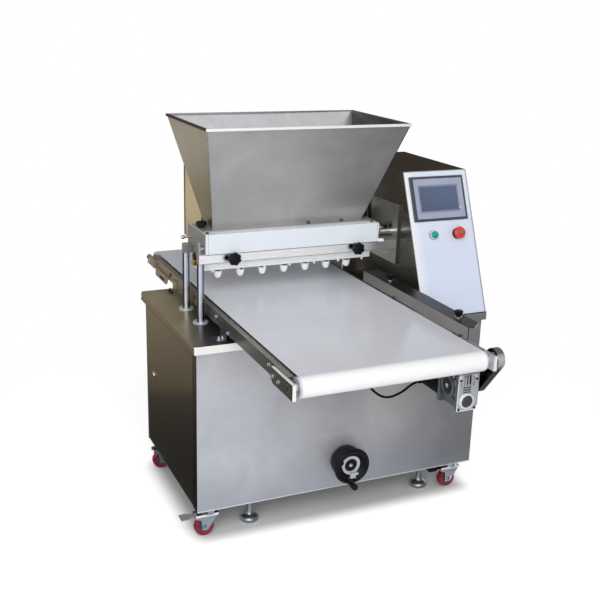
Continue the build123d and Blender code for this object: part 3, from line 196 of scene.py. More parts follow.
class Finish:
    """One procedural material on object coordinates."""

    def __init__(self, name, metal=0.0, **fixed):
        self.material, self.tree = bare_material(name)
        self.shader = add_node(self.tree, "ShaderNodeBsdfPrincipled")
        add_node(self.tree, "ShaderNodeOutputMaterial", None, {"Surface": self.shader.outputs[0]})
        self.feed("Metallic", metal)
        for key, value in fixed.items():
            self.feed(key.replace("_", " ").title().replace("Ior", "IOR"), value)
        self.at = Wire(self, add_node(self.tree, "ShaderNodeTexCoord").outputs["Object"])

    def node(self, kind, settings=None, sockets=None, out=0):
        """One output of a new node."""
        return Wire(self, add_node(self.tree, kind, settings, sockets).outputs[out])

    def feed(self, socket, value):
        """Sets or links one socket of the shader."""
        target = self.shader.inputs[socket]
        if isinstance(value, Wire):
            self.tree.links.new(value.socket, target)
        elif isinstance(value, (tuple, list)):
            target.default_value = (*value[:3], 1.0)
        else:
            target.default_value = value

    def stretch(self, scale):
        """The object's coordinates, scaled along each axis."""
        return Wire(self, vectors(self.tree, "MULTIPLY", self.at, scale))

    def axis(self, index):
        """One of the object's coordinates."""
        return self.node("ShaderNodeSeparateXYZ", None, [self.at], index)

    def noise(self, vector, scale, detail=2.0, rough=0.5, twist=0.0):
        """Cloudy values between 0 and 1."""
        return self.node(
            "ShaderNodeTexNoise", None,
            {"Vector": vector, "Scale": scale, "Detail": detail, "Roughness": rough, "Distortion": twist},
        )

    def drawn(self, along, fine, coarse, detail):
        """Noise drawn out along one axis, as grinding leaves it."""
        scale = [fine] * 3
        scale["xyz".index(along)] = coarse
        return self.noise(self.stretch(scale), 1.0, detail)

    def mix(self, factor, low, high):
        """A colour between two."""
        return self.node(
            "ShaderNodeMix", {"data_type": "RGBA", "clamp_factor": True}, {0: factor, 6: low, 7: high}, 2
        )

    def close(self, colour, rough, height=None, strength=0.0, distance=0.0003):
        """Feeds colour, roughness and bump, and gives the material."""
        self.feed("Base Color", colour)
        self.feed("Roughness", rough)
        if height is not None:
            bump = {"Strength": strength, "Distance": distance, "Height": height}
            self.feed("Normal", self.node("ShaderNodeBump", None, bump))
        return self.material


FINISHES = {}


def brushed(name, low, high, along="x", rough=0.38, lines=0.08, metal=0.8, gloss=0.5, fade=None, to=None,
            stain=None, dull=None):
    """Sheet steel ground in one direction, with cloudy patches; it may blend to other tones by position (painted light
    and shade), carry round dark blotches (painted reflections) or be dulled.
    """
    f = Finish(name, metal=metal, specular_ior_level=gloss)
    streak = f.drawn(along, 150.0, 1.4, 4.0)
    hair = f.drawn(along, 950.0, 8.0, 2.0)
    patch = f.noise(f.at, 5.2, 4.0, 0.6, 0.6)
    tone = patch * 1.1 + streak * 0.22 + hair * 0.14 - 0.23
    colour = f.mix(tone, low, high)
    # Blending to the other tones by position is painted light and shade.
    if fade:
        colour = f.mix(fade(f), colour, f.mix(tone, *to))
    skin = streak * lines + patch * 0.10 + (rough - 0.5 * lines - 0.05)
    # Round dark blotches are painted reflections of nearby parts.
    if stain:
        dark = stain(f)
        colour = f.mix(dark, colour, (0.006, 0.006, 0.008))
        f.feed("Metallic", dark * (1 - metal) + metal)
    if dull:
        skin = skin + dull(f)
    return f.close(colour, skin, hair * 0.6 + streak * 0.4, 0.06)


def round_spot(f, x, z, inner, outer, behind):
    """1 within a round spot in X and Z, fading out to 0 round it and behind a plane across Y."""
    off = vectors(f.tree, "SUBTRACT", f.at, (x, 0.0, z))
    flat = vectors(f.tree, "MULTIPLY", off, (1.0, 0.0, 1.0))
    reach = Wire(f, vectors(f.tree, "LENGTH", flat))
    return (1 - reach.above(inner, outer)) * (1 - f.axis(1).above(behind, behind + 0.02))


def sheet_tone(f, lit, streak):
    """Share of the upper tone on a sheet that is lit in part."""
    return lit * 0.85 + streak * 0.12 + f.noise(f.at, 4.0) * 0.18 - 0.10


def side_sheet(name, bottom, top, corner):
    """Left sheets: painted light above a slanting line and painted shade below it, with a greyer fold along the front
    corner that darkens towards the floor as painted shade.
    """
    f = Finish(name, metal=0.95, specular_ior_level=0.3)
    streak = f.drawn("y", 150.0, 1.4, 4.0)
    lit = (f.axis(2) + f.axis(1) * 0.39).above(0.405, 0.475)
    sheet = f.mix(sheet_tone(f, lit, streak), bottom, top)
    fold = f.mix(f.axis(2).above(0.20, 0.60), dim(corner, 0.5), corner)
    colour = f.mix(1 - f.axis(1).above(-0.1345, -0.1315), sheet, fold)
    return f.close(colour, streak * 0.10 + 0.25, streak, 0.05)


def dim(colour, share):
    """A colour at a share of its strength."""
    return tuple(v * share for v in colour)


def graded(name, bottom, top, z_low, z_high):
    """Ground sheet whose tone falls off towards the floor: painted shade."""
    f = Finish(name, metal=0.85)
    streak = f.drawn("y", 150.0, 1.4, 4.0)
    tone = sheet_tone(f, f.axis(2).above(z_low, z_high), streak)
    return f.close(f.mix(tone, bottom, top), streak * 0.10 + 0.21, streak, 0.05)


def ground_inside(name, low, high):
    """Hand-ground sheet with curling scratch marks, as on the inside of the hopper."""
    f = Finish(name, metal=1.0)
    swirl = f.noise(f.at, 7.0, 5.0, 0.6, 3.0)
    fine = f.noise(f.stretch((40.0, 40.0, 12.0)), 6.0, 3.0, 0.6, 1.0)
    return f.close(f.mix(swirl * 0.9 + fine * 0.4 - 0.2, low, high), swirl * 0.2 + 0.20, fine, 0.12)


def machined(name, low, high, rough=0.28, metal=1.0):
    """Turned or milled metal with fine tool marks and a little staining."""
    f = Finish(name, metal=metal)
    mark = f.noise(f.at, 900.0)
    stain = f.noise(f.at, 40.0, 3.0)
    colour = f.mix(stain * 0.8 + mark * 0.3 - 0.1, low, high)
    return f.close(colour, stain * 0.16 + mark * 0.08 + (rough - 0.12), mark, 0.06, 0.0002)


def cast(name, low, high, rough=0.45, metal=1.0):
    """Die-cast metal with a grainy skin."""
    f = Finish(name, metal=metal)
    grain = f.noise(f.at, 520.0, 3.0, 0.7)
    cloud = f.noise(f.at, 60.0)
    colour = f.mix(grain * 0.6 + cloud * 0.6 - 0.1, low, high)
    return f.close(colour, grain * 0.2 + (rough - 0.1), grain, 0.35, 0.0006)


def plated(name, low, high):
    """Zinc plate with a faint crystal pattern."""
    f = Finish(name, metal=1.0)
    flake = f.node("ShaderNodeTexVoronoi", None, {"Vector": f.at, "Scale": 420.0}, 1)
    flake = f.node("ShaderNodeSeparateColor", None, [flake])
    cloud = f.noise(f.at, 45.0, 3.0)
    return f.close(f.mix(flake * 0.2 + cloud * 0.8, low, high), flake * 0.12 + cloud * 0.12 + 0.14)


def moulded(name, low, high, rough=0.42, grain=600.0, depth=0.10, **fixed):
    """Plastic or paint with a fine skin and slight clouding."""
    f = Finish(name, **fixed)
    skin = f.noise(f.at, grain)
    cloud = f.noise(f.at, 14.0, 3.0)
    return f.close(f.mix(cloud, low, high), skin * 0.10 + cloud * 0.08 + (rough - 0.09), skin, depth)


def belting(name, low, high):
    """Smooth white conveyor cover over a fine cloth, a little dulled along its run."""
    f = Finish(name)
    warp, weft = (
        f.node("ShaderNodeTexWave", {"wave_type": "BANDS", "bands_direction": way}, {"Vector": f.at, "Scale": 260.0}, 1)
        for way in "XY"
    )
    run = f.noise(f.stretch((9.0, 0.9, 3.0)), 1.0, 3.0)
    spot = f.noise(f.at, 26.0, 3.0)
    # The front roll is painted lighter than the run: painted light.
    roll = 1 - f.axis(1).above(-0.674, -0.652)
    colour = f.mix(roll, f.mix(run * 0.8 + spot * 0.4 - 0.1, low, high), (0.98, 0.985, 0.99))
    return f.close(colour, run * 0.10 + spot * 0.06 + 0.13, warp * 0.5 + weft * 0.5, 0.015, 0.0002)


def tyre(name, low, high):
    """Cast wheel tread, scuffed, with painted shade darkening it near the floor."""
    f = Finish(name)
    scuff = f.noise(f.at, 110.0, 4.0, 0.7)
    floor_shade = 1 - f.axis(2).above(0.001, 0.012)
    return f.close(f.mix(scuff * 0.9 - floor_shade * 0.35, low, high), scuff * 0.25 + 0.28, scuff, 0.15, 0.0004)


def banded(name, low, high, rise, full, fall, gone):
    """Rolled rim with a painted highlight in a band between two heights."""
    f = Finish(name, metal=0.7)
    mark = f.noise(f.at, 300.0)
    height = f.axis(2)
    painted_shine = height.above(rise, full) * (1 - height.above(fall, gone))
    return f.close(f.mix(painted_shine + mark * 0.1 - 0.05, low, high), mark * 0.1 + 0.33)


def screen_glass(name, low, high):
    """Dark display glass with a faint slanting painted sheen."""
    f = Finish(name, coat_weight=0.15, coat_roughness=0.06)
    painted_sheen = (f.axis(0) - 0.32) * 4.0 + (f.axis(2) - 0.93) * 3.0
    cloud = f.noise(f.at, 25.0)
    return f.close(f.mix(painted_sheen * 0.6 + cloud * 0.35, low, high), cloud * 0.1 + 0.16)


def panel_enamel(name, low, high):
    """Panel paint that is paler towards its top left, where the light comes from."""
    f = Finish(name)
    skin = f.noise(f.at, 420.0)
    left = (1 - f.axis(0).above(0.285, 0.325)) * 0.8
    pale = left + f.axis(2).above(0.85, 1.08) * 0.35 + f.noise(f.at, 9.0) * 0.15 - 0.05
    return f.close(f.mix(pale, low, high), skin * 0.10 + 0.30, skin, 0.05)


def jointed_plastic(name, low, high, joints):
    """White plastic block with the hairline joints of its end plates."""
    f = Finish(name)
    skin = f.noise(f.at, 240.0)
    cloud = f.noise(f.at, 14.0, 3.0)
    line = 0.0
    for place in joints:
        off = f.at.sum_of("ABSOLUTE", f.axis(0) - place)
        line = line + (1 - off.above(0.0004, 0.0009))
    colour = f.mix(line * 0.6, f.mix(cloud, low, high), (0.10, 0.11, 0.12))
    return f.close(colour, skin * 0.10 + cloud * 0.08 + 0.27, skin, 0.04)


def finish(name):
    """The finish of that name, made on its first use."""
    if name in FINISHES:
        return FINISHES[name]
    c = bpy.context.scene.depositor_colours
    steel, deep = tuple(c.steel), tuple(c.steel_shade)
    side_top, side_bottom = tuple(c.side_top), tuple(c.side_bottom)
    white, paint = tuple(c.plastic), tuple(c.panel)
    table = {
        "steel_x": (brushed, deep, steel, "x", 0.42, 0.08, 0.7),
        "steel_y": (brushed, deep, steel, "y"),
        # A brighter copy of the ground steel for lit edges: painted light.
        "steel_bright": (brushed, dim(steel, 1.2), dim(steel, 1.55), "x", 0.36, 0.08, 0.6),
        # Darker copies of the ground steel for faces out of the light: painted shade.
        "steel_dull": (brushed, dim(deep, 0.18), dim(deep, 0.34), "y", 0.36),
        "steel_dark": (brushed, dim(deep, 0.06), dim(deep, 0.13), "y", 0.36, 0.08, 1.0),
        # Front sheet: painted shade darkening it towards the floor and to the right, and a round patch of painted light
        # under the conveyor; the spot near the handwheel only roughens.
        "front_sheet": (brushed, (0.66, 0.64, 0.63), (1.0, 0.98, 0.97), "x", 0.33, 0.08, 0.7, dict(
            fade=lambda f: (1 - f.axis(2).above(0.08, 0.30)) * 0.38 + f.axis(0).above(0.06, 0.50) * 0.16 + 0.57
            - round_spot(f, 0.19, 0.365, 0.03, 0.19, -0.16) * 0.5,
            to=((0.32, 0.33, 0.36), (0.475, 0.49, 0.53)),
            dull=lambda f: round_spot(f, -0.014, 0.24, 0.06, 0.15, -0.16) * 0.28,
        )),
        # Hopper front: painted shade towards the right.
        "hopper_front": (brushed, (0.37, 0.362, 0.358), (0.67, 0.66, 0.652), "x", 0.40, 0.08, 0.7, dict(
            fade=lambda f: f.axis(0).above(0.06, 0.25) * 0.8, to=((0.31, 0.305, 0.305), (0.46, 0.455, 0.455)),
        )),
        # Tan of the hopper's left faces: painted reflection.
        "hopper_tan": (brushed, (0.19, 0.155, 0.092), (0.345, 0.292, 0.185), "y", 0.32),
        # Front of the bars: near white as painted light, painted shade right of the right knob, and round dark blotches
        # beside both knobs as painted reflections of the knobs.
        "bar_front": (brushed, (0.93, 0.93, 0.94), (1.0, 1.0, 1.0), "x", 0.26, 0.06, 0.35, dict(
            fade=lambda f: f.axis(0).above(0.12, 0.21), to=((0.25, 0.245, 0.25), (0.38, 0.375, 0.38)),
            stain=lambda f: round_spot(f, 0.104, 0.869, 0.002, 0.017, 0.02)
            + round_spot(f, -0.328, 0.865, 0.002, 0.017, 0.02),
        )),
        # Cream of the lit lips and edges: painted light, turning to painted shade towards the right.
        "lip_cream": (brushed, (0.95, 0.925, 0.88), (1.0, 0.985, 0.95), "x", 0.34, 0.06, 0.18, dict(
            fade=lambda f: f.axis(0).above(0.10, 0.28), to=((0.18, 0.18, 0.18), (0.27, 0.27, 0.27)),
        )),
        # White edges: painted highlights.
        "edge_white": (brushed, (0.95, 0.95, 0.96), (1.0, 1.0, 1.0), "z", 0.30, 0.05, 0.2),
        # Black of the hopper rim's left edge: painted shade.
        "rim_black": (brushed, (0.012, 0.011, 0.010), (0.03, 0.027, 0.023), "y", 0.40, 0.05, 1.0),
        # Rail tones: a lighter top darkening towards the back, and dark olive sides turning tan towards the back:
        # painted light and shade.
        "rail_top": (brushed, (0.22, 0.21, 0.19), (0.38, 0.365, 0.335), "y", 0.36, dict(
            fade=lambda f: f.axis(1).above(-0.35, 0.05), to=((0.12, 0.11, 0.09), (0.24, 0.22, 0.18)),
        )),
        "rail_olive": (brushed, (0.075, 0.071, 0.062), (0.135, 0.127, 0.110), "y", 0.36, dict(
            fade=lambda f: f.axis(1).above(0.02, 0.14), to=((0.24, 0.205, 0.145), (0.36, 0.31, 0.22)),
        )),
        # Tray guide: tan left faces and a dark top that lightens towards the back: painted reflections.
        "guide_tan": (brushed, (0.225, 0.213, 0.195), (0.375, 0.357, 0.327), "y", 0.36),
        "guide_top": (brushed, (0.019, 0.019, 0.018), (0.042, 0.041, 0.040), "y", 0.36, 0.08, 1.0, dict(
            fade=lambda f: f.axis(1).above(-0.15, 0.03), to=((0.14, 0.135, 0.12), (0.26, 0.25, 0.225)),
        )),
        # Gold tone of the drive housing's left faces: painted reflection.
        "gold_steel": (brushed, (0.44, 0.338, 0.155), (0.64, 0.50, 0.25), "y", 0.34),
        # Dark brown lines under the deck lip and up the head's rear: painted shadow lines.
        "edge_brown": (brushed, (0.035, 0.025, 0.014), (0.07, 0.05, 0.03), "z", 0.4),
        # Pale tan sheet at the back: painted light lifting it out of its shade.
        "tan_pale": (brushed, (0.62, 0.58, 0.52), (0.76, 0.715, 0.635), "z", 0.5, 0.06, 0.1),
        # Left sheets and left faces: painted light and shade, with tan as painted reflection.
        "side_steel": (side_sheet, side_bottom, side_top, (0.07, 0.07, 0.069)),
        "tan_steel": (brushed, dim(side_top, 0.9), dim(side_top, 1.6), "y", 0.32),
        # Beige of the slide plate's sides: painted reflection, darker towards the front as painted shade.
        "plate_beige": (brushed, (0.56, 0.54, 0.45), (0.90, 0.86, 0.74), "z", 0.40, dict(
            fade=lambda f: 1 - f.axis(1).above(0.0, 0.12), to=((0.34, 0.325, 0.29), (0.62, 0.60, 0.54)),
        )),
        # Tower: the left wall darkening towards the floor is painted shade; the top's dark brown paint stands in for
        # the steel's dark reflection: painted reflection.
        "tower_side": (graded, (0.17, 0.162, 0.142), dim(side_top, 1.35), 0.86, 1.10),
        "tower_top": (moulded, (0.008, 0.006, 0.004), (0.05, 0.031, 0.021), 0.5, 300.0, 0.05, dict(
            specular_ior_level=0.02,
        )),
        "hopper_inside": (ground_inside, deep, dim(steel, 1.1)),
        "hopper_lit": (ground_inside, dim(steel, 0.66), dim(steel, 1.02)),
        "hopper_shade": (ground_inside, dim(deep, 0.05), dim(deep, 0.15)),
        # Deck: tan as painted reflection, dark towards the right as painted shade; the left lip is a darker copy:
        # painted shade.
        "deck_steel": (brushed, tuple(c.deck), dim(c.deck, 1.5), "x", 0.34, dict(
            gloss=0.3, fade=lambda f: (f.axis(0) - f.axis(1) * 0.35).above(-0.47, -0.40),
            to=((0.040, 0.038, 0.041), (0.085, 0.081, 0.085)),
        )),
        "deck_lip": (brushed, dim(c.deck, 0.62), dim(c.deck, 0.95), "y", 0.34),
        # Post tones are chosen by side: painted reflections.
        "post_pale": (machined, (0.52, 0.545, 0.64), (0.70, 0.73, 0.82), 0.22, 0.6),
        "post_blue": (machined, (0.17, 0.195, 0.25), (0.24, 0.27, 0.33), 0.22),
        "post_navy": (machined, (0.040, 0.046, 0.070), (0.075, 0.085, 0.115), 0.22),
        "foot_steel": (machined, (0.22, 0.245, 0.275), (0.34, 0.37, 0.405), 0.34, 0.95),
        "machined": (machined, (0.42, 0.42, 0.42), (0.62, 0.62, 0.62)),
        "chrome": (machined, (0.58, 0.61, 0.66), (0.74, 0.77, 0.81), 0.14),
        "zinc": (plated, (0.25, 0.278, 0.31), (0.36, 0.39, 0.42)),
        # The paler zinc is a lit copy for the front right fork: painted light.
        "zinc_pale": (plated, (0.60, 0.66, 0.70), (0.78, 0.83, 0.87)),
        "flange_grey": (machined, (0.56, 0.60, 0.64), (0.70, 0.74, 0.78), 0.42, 0.4),
        "roller_pale": (machined, (0.62, 0.62, 0.66), (0.74, 0.74, 0.78), 0.42, 0.3),
        # Greyer tone of the manifold's end plates, also used for a painted shadow line under the bar.
        "end_grey": (machined, (0.205, 0.20, 0.193), (0.285, 0.28, 0.268), 0.42, 0.4),
        # Lit, highlight and darker copies of the cast metal by side: painted light, painted highlights and painted
        # shade.
        "aluminium": (cast, (0.51, 0.525, 0.56), (0.81, 0.825, 0.86), 0.45, 0.6),
        "bright_cast": (cast, (0.82, 0.83, 0.85), (0.95, 0.95, 0.96), 0.40, 0.3),
        "dark_aluminium": (cast, (0.035, 0.042, 0.046), (0.235, 0.258, 0.272), 0.45, 0.7),
        "manifold_white": (jointed_plastic, dim(white, 0.96), white, (-0.387, 0.198)),
        # A faint glow lifts the nozzle plastic out of the bar's shade: painted light.
        "nozzle_white": (moulded, (0.93, 0.955, 0.985), (0.97, 0.985, 1.0), 0.36, 240.0, 0.04, dict(
            emission_color=(0.88, 0.95, 1.0), emission_strength=0.08,
        )),
        "panel_paint": (panel_enamel, paint, (0.96, 0.985, 1.0)),
        "bezel_lilac": (moulded, (0.345, 0.375, 0.50), (0.43, 0.465, 0.61), 0.42),
        "bezel_mid": (moulded, (0.20, 0.225, 0.32), (0.26, 0.29, 0.40), 0.42),
        "bezel_dark": (moulded, (0.034, 0.040, 0.062), (0.058, 0.066, 0.098), 0.40),
        "screen": (screen_glass, (0.032, 0.056, 0.135), (0.068, 0.109, 0.22)),
        "lamp_white": (moulded, (0.86, 0.88, 0.92), (0.95, 0.95, 0.98), 0.25),
        "green_cap": (moulded, dim(c.start, 0.8), tuple(c.start), 0.24, 300.0, 0.02),
        "red_cap": (moulded, dim(c.stop, 0.8), tuple(c.stop), 0.26, 300.0, 0.02),
        "belt_white": (belting, (0.79, 0.805, 0.87), (0.90, 0.915, 0.975)),
        "black_plastic": (moulded, (0.003, 0.003, 0.004), (0.009, 0.009, 0.011), 0.42, 700.0, 0.2, dict(
            specular_ior_level=0.15,
        )),
        "cable_black": (moulded, (0.003, 0.003, 0.003), (0.008, 0.008, 0.008), 0.6, 900.0, 0.2, dict(
            specular_ior_level=0.08,
        )),
        "pedal_grey": (moulded, (0.26, 0.27, 0.27), (0.38, 0.39, 0.39), 0.6),
        "stop_disc": (moulded, (0.16, 0.18, 0.25), (0.26, 0.28, 0.36), 0.4),
        "black_paint": (moulded, (0.004, 0.004, 0.005), (0.012, 0.012, 0.013), 0.38, 500.0, 0.15, dict(
            specular_ior_level=0.3,
        )),
        # Chain guard: dark sides as painted shade and a bright rim band as painted highlight; the black stands in for
        # shade inside the guard, in slots and behind plates: painted shade.
        "guard_dark": (machined, (0.026, 0.026, 0.024), (0.044, 0.043, 0.040), 0.36, 0.7),
        "guard_rim": (banded, (0.10, 0.10, 0.098), (0.84, 0.85, 0.87), 0.668, 0.695, 0.707, 0.724),
        "guard_inside": (machined, (0.010, 0.010, 0.010), (0.026, 0.025, 0.024), 0.5, 0.5),
        "grey_plastic": (moulded, (0.035, 0.038, 0.042), (0.060, 0.064, 0.070), 0.45),
        "ring_grey": (moulded, (0.50, 0.52, 0.60), (0.62, 0.64, 0.72), 0.38),
        "oiled_steel": (machined, (0.05, 0.05, 0.05), (0.14, 0.13, 0.12), 0.3),
        "frame_paint": (moulded, (0.10, 0.105, 0.11), (0.16, 0.165, 0.17), 0.5),
        "wheel_red": (tyre, dim(c.wheel, 0.45), tuple(c.wheel)),
        "brass": (machined, (0.42, 0.26, 0.09), (0.60, 0.40, 0.15), 0.3),
    }
    maker, *values = table[name]
    options = values.pop() if isinstance(values[-1], dict) else {}
    FINISHES[name] = maker(name, *values, **options)
    return FINISHES[name]


def settle(piece):
    """Turns what the modifiers give into the piece's plain mesh."""
    graph = bpy.context.evaluated_depsgraph_get()
    mesh = bpy.data.meshes.new_from_object(piece.evaluated_get(graph))
    old = piece.data
    mesh.name = piece.name
    piece.modifiers.clear()
    piece.data = mesh
    if old.users == 0:
        bpy.data.meshes.remove(old)


def joined_to(piece, body, nodes=()):
    """Ties a piece to its body and hides the nodes it stands for."""
    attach(piece, body)
    if nodes:
        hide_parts(*nodes)
    return piece


def shaded(mesh, crease):
    """Smooth faces, sharp at creases."""
    mesh.polygons.foreach_set("use_smooth", [True] * len(mesh.polygons))
    mesh.set_sharp_from_angle(angle=radians(crease))


def smooth_out(piece, crease=35.0, soft=0.0):
    """Soft edges, then even normals over flats and bends."""
    if soft:
        edge = piece.modifiers.new("edges", "BEVEL")
        edge.width = soft * MM
        edge.segments = 2
        edge.limit_method = "ANGLE"
        edge.angle_limit = radians(40)
        edge.use_clamp_overlap = True
        settle(piece)
    shaded(piece.data, crease)
    even = piece.modifiers.new("even", "WEIGHTED_NORMAL")
    even.keep_sharp = True
    settle(piece)


def dressed(node, pick, soft=0.5):
    """A copy of a CAD node with its facets welded, its edges softened and a finish picked for each face."""
    bm = bmesh.new()
    bm.from_mesh(frame["nodes"][node].data)
    bmesh.ops.remove_doubles(bm, verts=bm.verts, dist=2e-6)
    bmesh.ops.dissolve_limit(bm, angle_limit=radians(0.4), verts=bm.verts, edges=bm.edges)
    names = []
    for face in bm.faces:
        wanted = pick if isinstance(pick, str) else pick(face.normal, face.calc_center_bounds() / MM)
        if wanted not in names:
            names.append(wanted)
        face.material_index = names.index(wanted)
    mesh = bpy.data.meshes.new(node + "_dressed")
    bm.to_mesh(mesh)
    bm.free()
    for wanted in names:
        mesh.materials.append(finish(wanted))
    piece = placed(mesh.name, mesh)
    smooth_out(piece, soft=soft)
    return joined_to(piece, frame["nodes"][node]["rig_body"], [node])


def facing(front, side, top, left=None, under=None):
    """Picks a finish by which way a face looks."""
    def pick(normal, centre):
        if abs(normal.x) > SQUARE_ON:
            return left if left and normal.x < 0 else side
        if normal.z > SQUARE_ON:
            return top
        if normal.z < -SQUARE_ON:
            return under or front
        return front
    return pick


class Shape:
    """Gathers the solids of one piece, in millimetres."""

    def __init__(self):
        self.bm = bmesh.new()
        self.names = []

    def take(self, bm, name, place=None):
        """Adds one solid in one finish."""
        if name not in self.names:
            self.names.append(name)
        bmesh.ops.recalc_face_normals(bm, faces=bm.faces)
        for face in bm.faces:
            face.material_index = self.names.index(name)
        mesh = bpy.data.meshes.new("solid")
        bm.to_mesh(mesh)
        bm.free()
        mesh.transform((place or Matrix.Identity(4)) @ Matrix.Scale(MM, 4))
        self.bm.from_mesh(mesh)
        bpy.data.meshes.remove(mesh)
        return self

    def block(self, low, high, name, soft=0.8, place=None, segments=2):
        """A box with eased edges."""
        bm = bmesh.new()
        bmesh.ops.create_cube(bm, size=1.0)
        low, high = Vector(low), Vector(high)
        for vert in bm.verts:
            vert.co = low + Vector([(vert.co[i] + 0.5) * (high[i] - low[i]) for i in range(3)])
        if soft:
            bmesh.ops.bevel(
                bm, geom=bm.edges[:], offset=soft, segments=segments, profile=0.5, affect="EDGES", clamp_overlap=True
            )
        return self.take(bm, name, place)

    def lathe(self, profile, at, along, name, steps=40, lobes=0, wave=0.0, from_r=0.0, turn=0.0, place=None):
        """A turned solid: (radius, height) points round an axis, with optional lobes."""
        bm = bmesh.new()
        rings = []
        for radius, height in profile:
            if radius < 1e-6:
                rings.append([bm.verts.new((0, 0, height))])
                continue
            ring = []
            for i in range(steps):
                angle = 2 * pi * i / steps
                r = radius + (wave * cos(lobes * (angle - turn)) if lobes and radius >= from_r else 0.0)
                ring.append(bm.verts.new((r * cos(angle), r * sin(angle), height)))
            rings.append(ring)
        for low, high in zip(rings, rings[1:]):
            if len(low) == len(high) == 1:
                continue
            for i in range(steps):
                j = (i + 1) % steps
                if len(low) == 1:
                    bm.faces.new((low[0], high[i], high[j]))
                elif len(high) == 1:
                    bm.faces.new((low[i], low[j], high[0]))
                else:
                    bm.faces.new((low[i], low[j], high[j], high[i]))
        if profile[0] == profile[-1]:
            bmesh.ops.remove_doubles(bm, verts=bm.verts, dist=1e-5)
        else:
            for ring in (rings[0], rings[-1]):
                if len(ring) > 1:
                    bm.faces.new(ring)
        turn_to = Vector(UP).rotation_difference(Vector(along)).to_matrix().to_4x4()
        for vert in bm.verts:
            vert.co = turn_to @ vert.co + Vector(at)
        return self.take(bm, name, place)

    def plate(self, outline, depth, name, soft, place):
        """A flat plate: an outline in X and Y, raised along Z by depth."""
        bm = bmesh.new()
        base = [bm.verts.new((x, y, 0)) for x, y in outline]
        face = bm.faces.new(base)
        raised = bmesh.ops.extrude_face_region(bm, geom=[face])
        top = [v for v in raised["geom"] if isinstance(v, bmesh.types.BMVert)]
        bmesh.ops.translate(bm, vec=(0, 0, depth), verts=top)
        rim = [e for e in bm.edges if abs(e.verts[0].co.z - e.verts[1].co.z) < 1e-6]
        bmesh.ops.bevel(bm, geom=rim, offset=soft, segments=2, profile=0.5, affect="EDGES", clamp_overlap=True)
        return self.take(bm, name, place)

    def rod(self, points, radius, name, steps=10):
        """A round wire through points."""
        bm = bmesh.new()
        points = [Vector(p) for p in points]
        rings = []
        side = None
        for i, point in enumerate(points):
            ahead = (points[min(i + 1, len(points) - 1)] - points[max(i - 1, 0)]).normalized()
            if side is None:
                side = ahead.orthogonal().normalized()
            side = (side - ahead * side.dot(ahead)).normalized()
            other = ahead.cross(side)
            rings.append([
                bm.verts.new(point + (side * cos(2 * pi * k / steps) + other * sin(2 * pi * k / steps)) * radius)
                for k in range(steps)
            ])
        for low, high in zip(rings, rings[1:]):
            for k in range(steps):
                bm.faces.new((low[k], low[(k + 1) % steps], high[(k + 1) % steps], high[k]))
        bm.faces.new(rings[0])
        bm.faces.new(rings[-1])
        return self.take(bm, name)

    def done(self, name, body, nodes=()):
        """The finished piece, on its body."""
        mesh = bpy.data.meshes.new(name)
        self.bm.to_mesh(mesh)
        self.bm.free()
        for wanted in self.names:
            mesh.materials.append(finish(wanted))
        piece = placed(name, mesh)
        smooth_out(piece)
        return joined_to(piece, body, nodes)


def grow(name, mesh, tree, values, body, nodes):
    """Runs a geometry tree on a mesh and keeps the result as a plain piece."""
    piece = placed(name, mesh)
    run = piece.modifiers.new("grow", "NODES")
    run.node_group = tree
    for item in tree.interface.items_tree:
        if item.item_type == "SOCKET" and item.in_out == "INPUT" and item.name in values:
            run[item.identifier] = values[item.name]
    settle(piece)
    shaded(piece.data, 32)
    return joined_to(piece, body, nodes)


def made(tree, kind, sockets=None, settings=None):
    """The first output of a new node."""
    return add_node(tree, kind, settings, sockets).outputs[0]


def new_tree(name, inputs):
    """An empty geometry tree with a geometry in and out and the named inputs."""
    tree = bpy.data.node_groups.new(name, "GeometryNodeTree")
    tree.interface.new_socket("Geometry", in_out="INPUT", socket_type="NodeSocketGeometry")
    for label, kind, default in inputs:
        item = tree.interface.new_socket(label, in_out="INPUT", socket_type="NodeSocket" + kind)
        if default is not None:
            item.default_value = default
    tree.interface.new_socket("Geometry", in_out="OUTPUT", socket_type="NodeSocketGeometry")
    return tree, add_node(tree, "NodeGroupInput").outputs, add_node(tree, "NodeGroupOutput")


def end_tree(tree, out, instances, material):
    """Makes the copies real and gives them their finish."""
    real = made(tree, "GeometryNodeRealizeInstances", {"Geometry": instances})
    painted = made(tree, "GeometryNodeSetMaterial", {"Geometry": real, "Material": material})
    tree.links.new(painted, out.inputs[0])
    return tree


def joined_solids(tree, solids):
    """Several geometries as one."""
    both = add_node(tree, "GeometryNodeJoinGeometry")
    for solid in solids:
        tree.links.new(solid, both.inputs[0])
    return both.outputs[0]


def shifted(tree, solid, **offset):
    """A geometry moved along the named axes."""
    way = made(tree, "ShaderNodeCombineXYZ", offset)
    return made(tree, "GeometryNodeTransform", {"Geometry": solid, "Translation": way})


